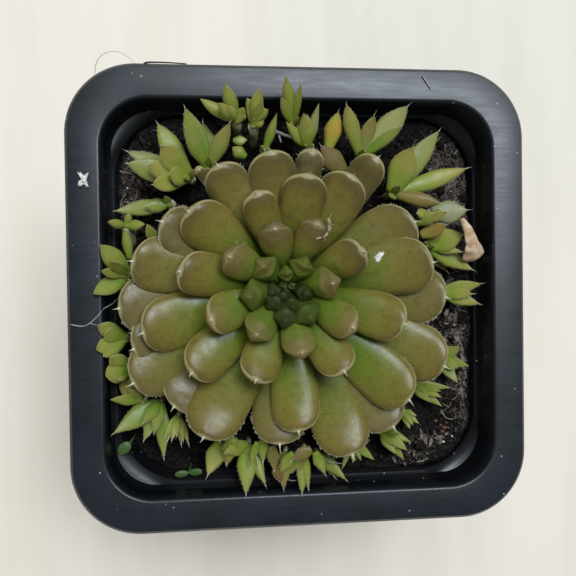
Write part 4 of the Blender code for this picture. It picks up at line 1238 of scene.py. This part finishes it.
def stalk_material():
    g = Graph("young_stalk_skin")
    body = g.coats(g.mix(g.noise(1.2, 3.0), (0.47, 0.47, 0.28), (0.66, 0.63, 0.45)),
                   ((0.20, 0.12, 0.06), g.axis("Z"), (RIM_Z - 5.2) * MM, (RIM_Z - 8.5) * MM))
    return g.finish(body, g.rough(g.noise(0.5), 0.40, 0.6), g.noise(0.3), 0.3, 0.06,
                    Subsurface_Weight=0.1, Subsurface_Radius=(0.9, 1.0, 0.4),
                    Subsurface_Scale=0.001)


def pot_material():
    """Dark blue-grey moulded plastic with fine dust that settles on what faces up, painted darker
    below the rim as shade inside the pot.
    """
    g = Graph("pot_moulded_plastic")
    cloud, fine = g.noise(9.0, 4.0), g.noise(0.5, 3.0, 0.7)
    height, across = g.axis("Z"), g.axis("X")
    # Share of the way up to the rim's top: dust lies only there, and below it the plastic gets
    # painted shade.
    rim_top_share = g.span(height, (RIM_Z - 3.0) * MM, (RIM_Z - 0.6) * MM)
    dust = g.times(g.span(g.upward(), 0.6, 1.0), g.span(fine, 0.50, 0.80, 0.0, 0.06), rim_top_share)
    speck = g.times(g.span(g.cells(2.6), 0.085, 0.05), g.span(cloud, 0.50, 0.60))
    body = g.coats((0.0065, 0.0090, 0.0130), ((0.010, 0.0135, 0.019), cloud, 0.35, 0.65))
    body = g.mix(dust, body, (0.22, 0.23, 0.23))
    # Painted shade: below the rim the plastic turns near black, as in the pot's own shadow.
    body = g.mix(rim_top_share, (0.0030, 0.0038, 0.0050), body)
    body = g.mix(speck, body, (0.30, 0.29, 0.26))
    streak = g.noise(0.7, 3.0, 0.6, (0.12, 1.0, 1.0))
    corner = g.math('MINIMUM', g.math('ABSOLUTE', across), g.math('ABSOLUTE', g.axis("Y")))
    worn = g.span(height, (RIM_Z - 3.6) * MM, (RIM_Z - 4.4) * MM)
    dull = g.plus(g.span(corner, 0.030, 0.024, 0.10, 0.40),
                  g.span(across, 0.010, -0.010, 0.0, 0.10))
    rough = g.plus(g.rough(streak, 0.22, 0.28), g.times(rim_top_share, 0.13), g.times(worn, dull))
    return g.finish(body, rough, g.noise(0.9, 4.0), 0.12, 0.05, Specular_IOR_Level=0.85)


def peat_material(name, dark, light):
    g = Graph(name)
    clod = g.noise(0.8, 4.0, 0.65)
    body = g.coats(dark, (light, clod, 0.42, 0.72),
                   ((0.085, 0.070, 0.055), g.noise(0.18, 2.0), 0.62, 0.74, 0.0, 0.5))
    return g.finish(body, g.rough(clod, 0.95, 0.75), g.noise(0.22, 4.0), 0.7, 0.25,
                    Specular_IOR_Level=0.25)


def fibre_material():
    g = Graph("peat_fibre")
    body = g.coats((0.020, 0.015, 0.012),
                   ((0.225, 0.192, 0.155), g.value("tone"), 0.1, 0.95),
                   ((0.10, 0.07, 0.045), g.noise(0.6, 3.0), 0.4, 0.7, 0.0, 0.4))
    return g.finish(body, g.rough(g.noise(0.4), 0.6, 0.85), g.noise(0.2), 0.4, 0.08)


def plain_matter(name, first, second, size, low, high):
    """A small thing of two mottled tints between two roughnesses."""
    g = Graph(name)
    body = g.coats(first, (second, g.noise(size, 3.0), 0.35, 0.65))
    return g.finish(body, g.rough(g.noise(size * 0.7), low, high), g.noise(size * 0.4), 0.3, 0.06)


def dry_leaf_material():
    g = Graph("dry_leaf_paper")
    body = g.coats((0.50, 0.34, 0.19), ((0.70, 0.55, 0.38), g.noise(1.4, 4.0), 0.35, 0.65),
                   ((0.20, 0.10, 0.045), g.noise(0.5, 3.0), 0.60, 0.72, 0.0, 0.4))
    return g.finish(body, g.rough(g.noise(0.6), 0.55, 0.8), g.noise(0.5, 4.0), 0.5, 0.15,
                    Subsurface_Weight=0.15, Subsurface_Radius=(1.0, 0.7, 0.4),
                    Subsurface_Scale=0.0008)


def floor_material():
    g = Graph("floor_board")
    grain = g.noise(14.0, 4.0, 0.5, (1.0, 0.12, 1.0))
    body = g.coats((0.84, 0.775, 0.655), ((0.88, 0.815, 0.70), grain, 0.35, 0.65))
    return g.finish(body, g.rough(g.noise(3.0), 0.55, 0.7), g.noise(0.8, 3.0), 0.05, 0.05)


def build_stage(material):
    """A plain pale floor, a soft sky and window-like lights from behind."""
    mesh = bpy.data.meshes.new("floor")
    side = FLOOR_STEPS + 1
    lines = [FLOOR_REACH * (2 * i / FLOOR_STEPS - 1) for i in range(side)]
    corners = [j * side + i for j in range(FLOOR_STEPS) for i in range(FLOOR_STEPS)]
    mesh.from_pydata([(x, y, -0.0002) for y in lines for x in lines], [],
                     [(c, c + 1, c + side + 1, c + side) for c in corners])
    mesh.materials.append(material)
    floor = linked(bpy.data.objects.new("floor", mesh))
    world = bpy.data.worlds.new("soft_sky")
    bpy.context.scene.world = world
    world.use_nodes = True
    sky = world.node_tree.nodes["Background"]
    sky.inputs["Color"].default_value = (0.92, 0.96, 1.0, 1.0)
    sky.inputs["Strength"].default_value = SKY
    aim = Vector(LAMP_AIM)
    for name, heading, rise, power, colour, size, mirrored in LAMPS:
        data = bpy.data.lights.new(name, 'AREA')
        data.energy = power
        data.color = colour
        data.shape = 'RECTANGLE'
        data.size, data.size_y = size
        lamp = linked(bpy.data.objects.new(name, data))
        lamp.location = aim + heading_vector(heading, rise) * LAMP_DISTANCE
        lamp.rotation_euler = (aim - lamp.location).to_track_quat('-Z', 'Y').to_euler()
        lamp.visible_glossy = mirrored


def build_camera():
    data = bpy.data.cameras.new("photo_camera")
    data.lens = CAMERA_LENS
    data.sensor_width = CAMERA_SENSOR
    data.clip_start = 0.001
    camera = linked(bpy.data.objects.new("photo_camera", data))
    camera.matrix_world = (Matrix.Translation(Vector(CAMERA_PLACE))
                           @ Matrix(CAMERA_ROWS).transposed().to_4x4())
    bpy.context.scene.camera = camera


def build_scene():
    build_camera()
    young = [young_leaf_material(), spine_material(), stalk_material()]
    build_pot([pot_material()])
    build_soil([peat_material("peat_bed", (0.003, 0.0025, 0.0022), (0.020, 0.016, 0.013))])
    crumb = peat_material("peat_crumb", (0.004, 0.0032, 0.0027), (0.032, 0.026, 0.021))
    rng = random.Random(SEED + 1)
    build_lumps("soil_crumbs", crumb_spots(rng), rng, 0.2, crumb)
    build_fibres([fibre_material()])
    build_chips(plain_matter("bark_chip", (0.034, 0.027, 0.023), (0.20, 0.165, 0.135),
                             0.9, 0.6, 0.85))
    white = plain_matter("white_grain", (0.55, 0.53, 0.48), (0.80, 0.79, 0.74), 0.5, 0.5, 0.8)
    red = plain_matter("red_grain", (0.10, 0.042, 0.024), (0.24, 0.105, 0.055), 0.4, 0.6, 0.85)
    build_lumps("white_grains", WHITE_GRAINS, random.Random(SEED + 2), 0.5, white)
    build_lumps("red_grains", RED_GRAINS, random.Random(SEED + 2), 0.5, red)
    build_rosette([mature_leaf_material(), young[1]])
    for number in range(1, len(OFFSETS) + 1):
        build_offset(number, young)
    build_dry_leaf([dry_leaf_material()])
    for k, (foot, leaves) in enumerate(SEEDLINGS):
        build_seedling(k + 1, foot, leaves, young)
    dark = plain_matter("dark_hair", (0.012, 0.013, 0.015), (0.03, 0.03, 0.032), 0.8, 0.4, 0.6)
    grey = plain_matter("root_skin", (0.22, 0.21, 0.185), (0.40, 0.38, 0.33), 0.8, 0.5, 0.7)
    paper = plain_matter("husk_paper", (0.25, 0.20, 0.13), (0.46, 0.39, 0.27), 0.5, 0.5, 0.8)
    build_debris(white, dark, grey, paper)
    build_stage(floor_material())
    bpy.context.scene.view_settings.view_transform = 'Standard'


build_scene()
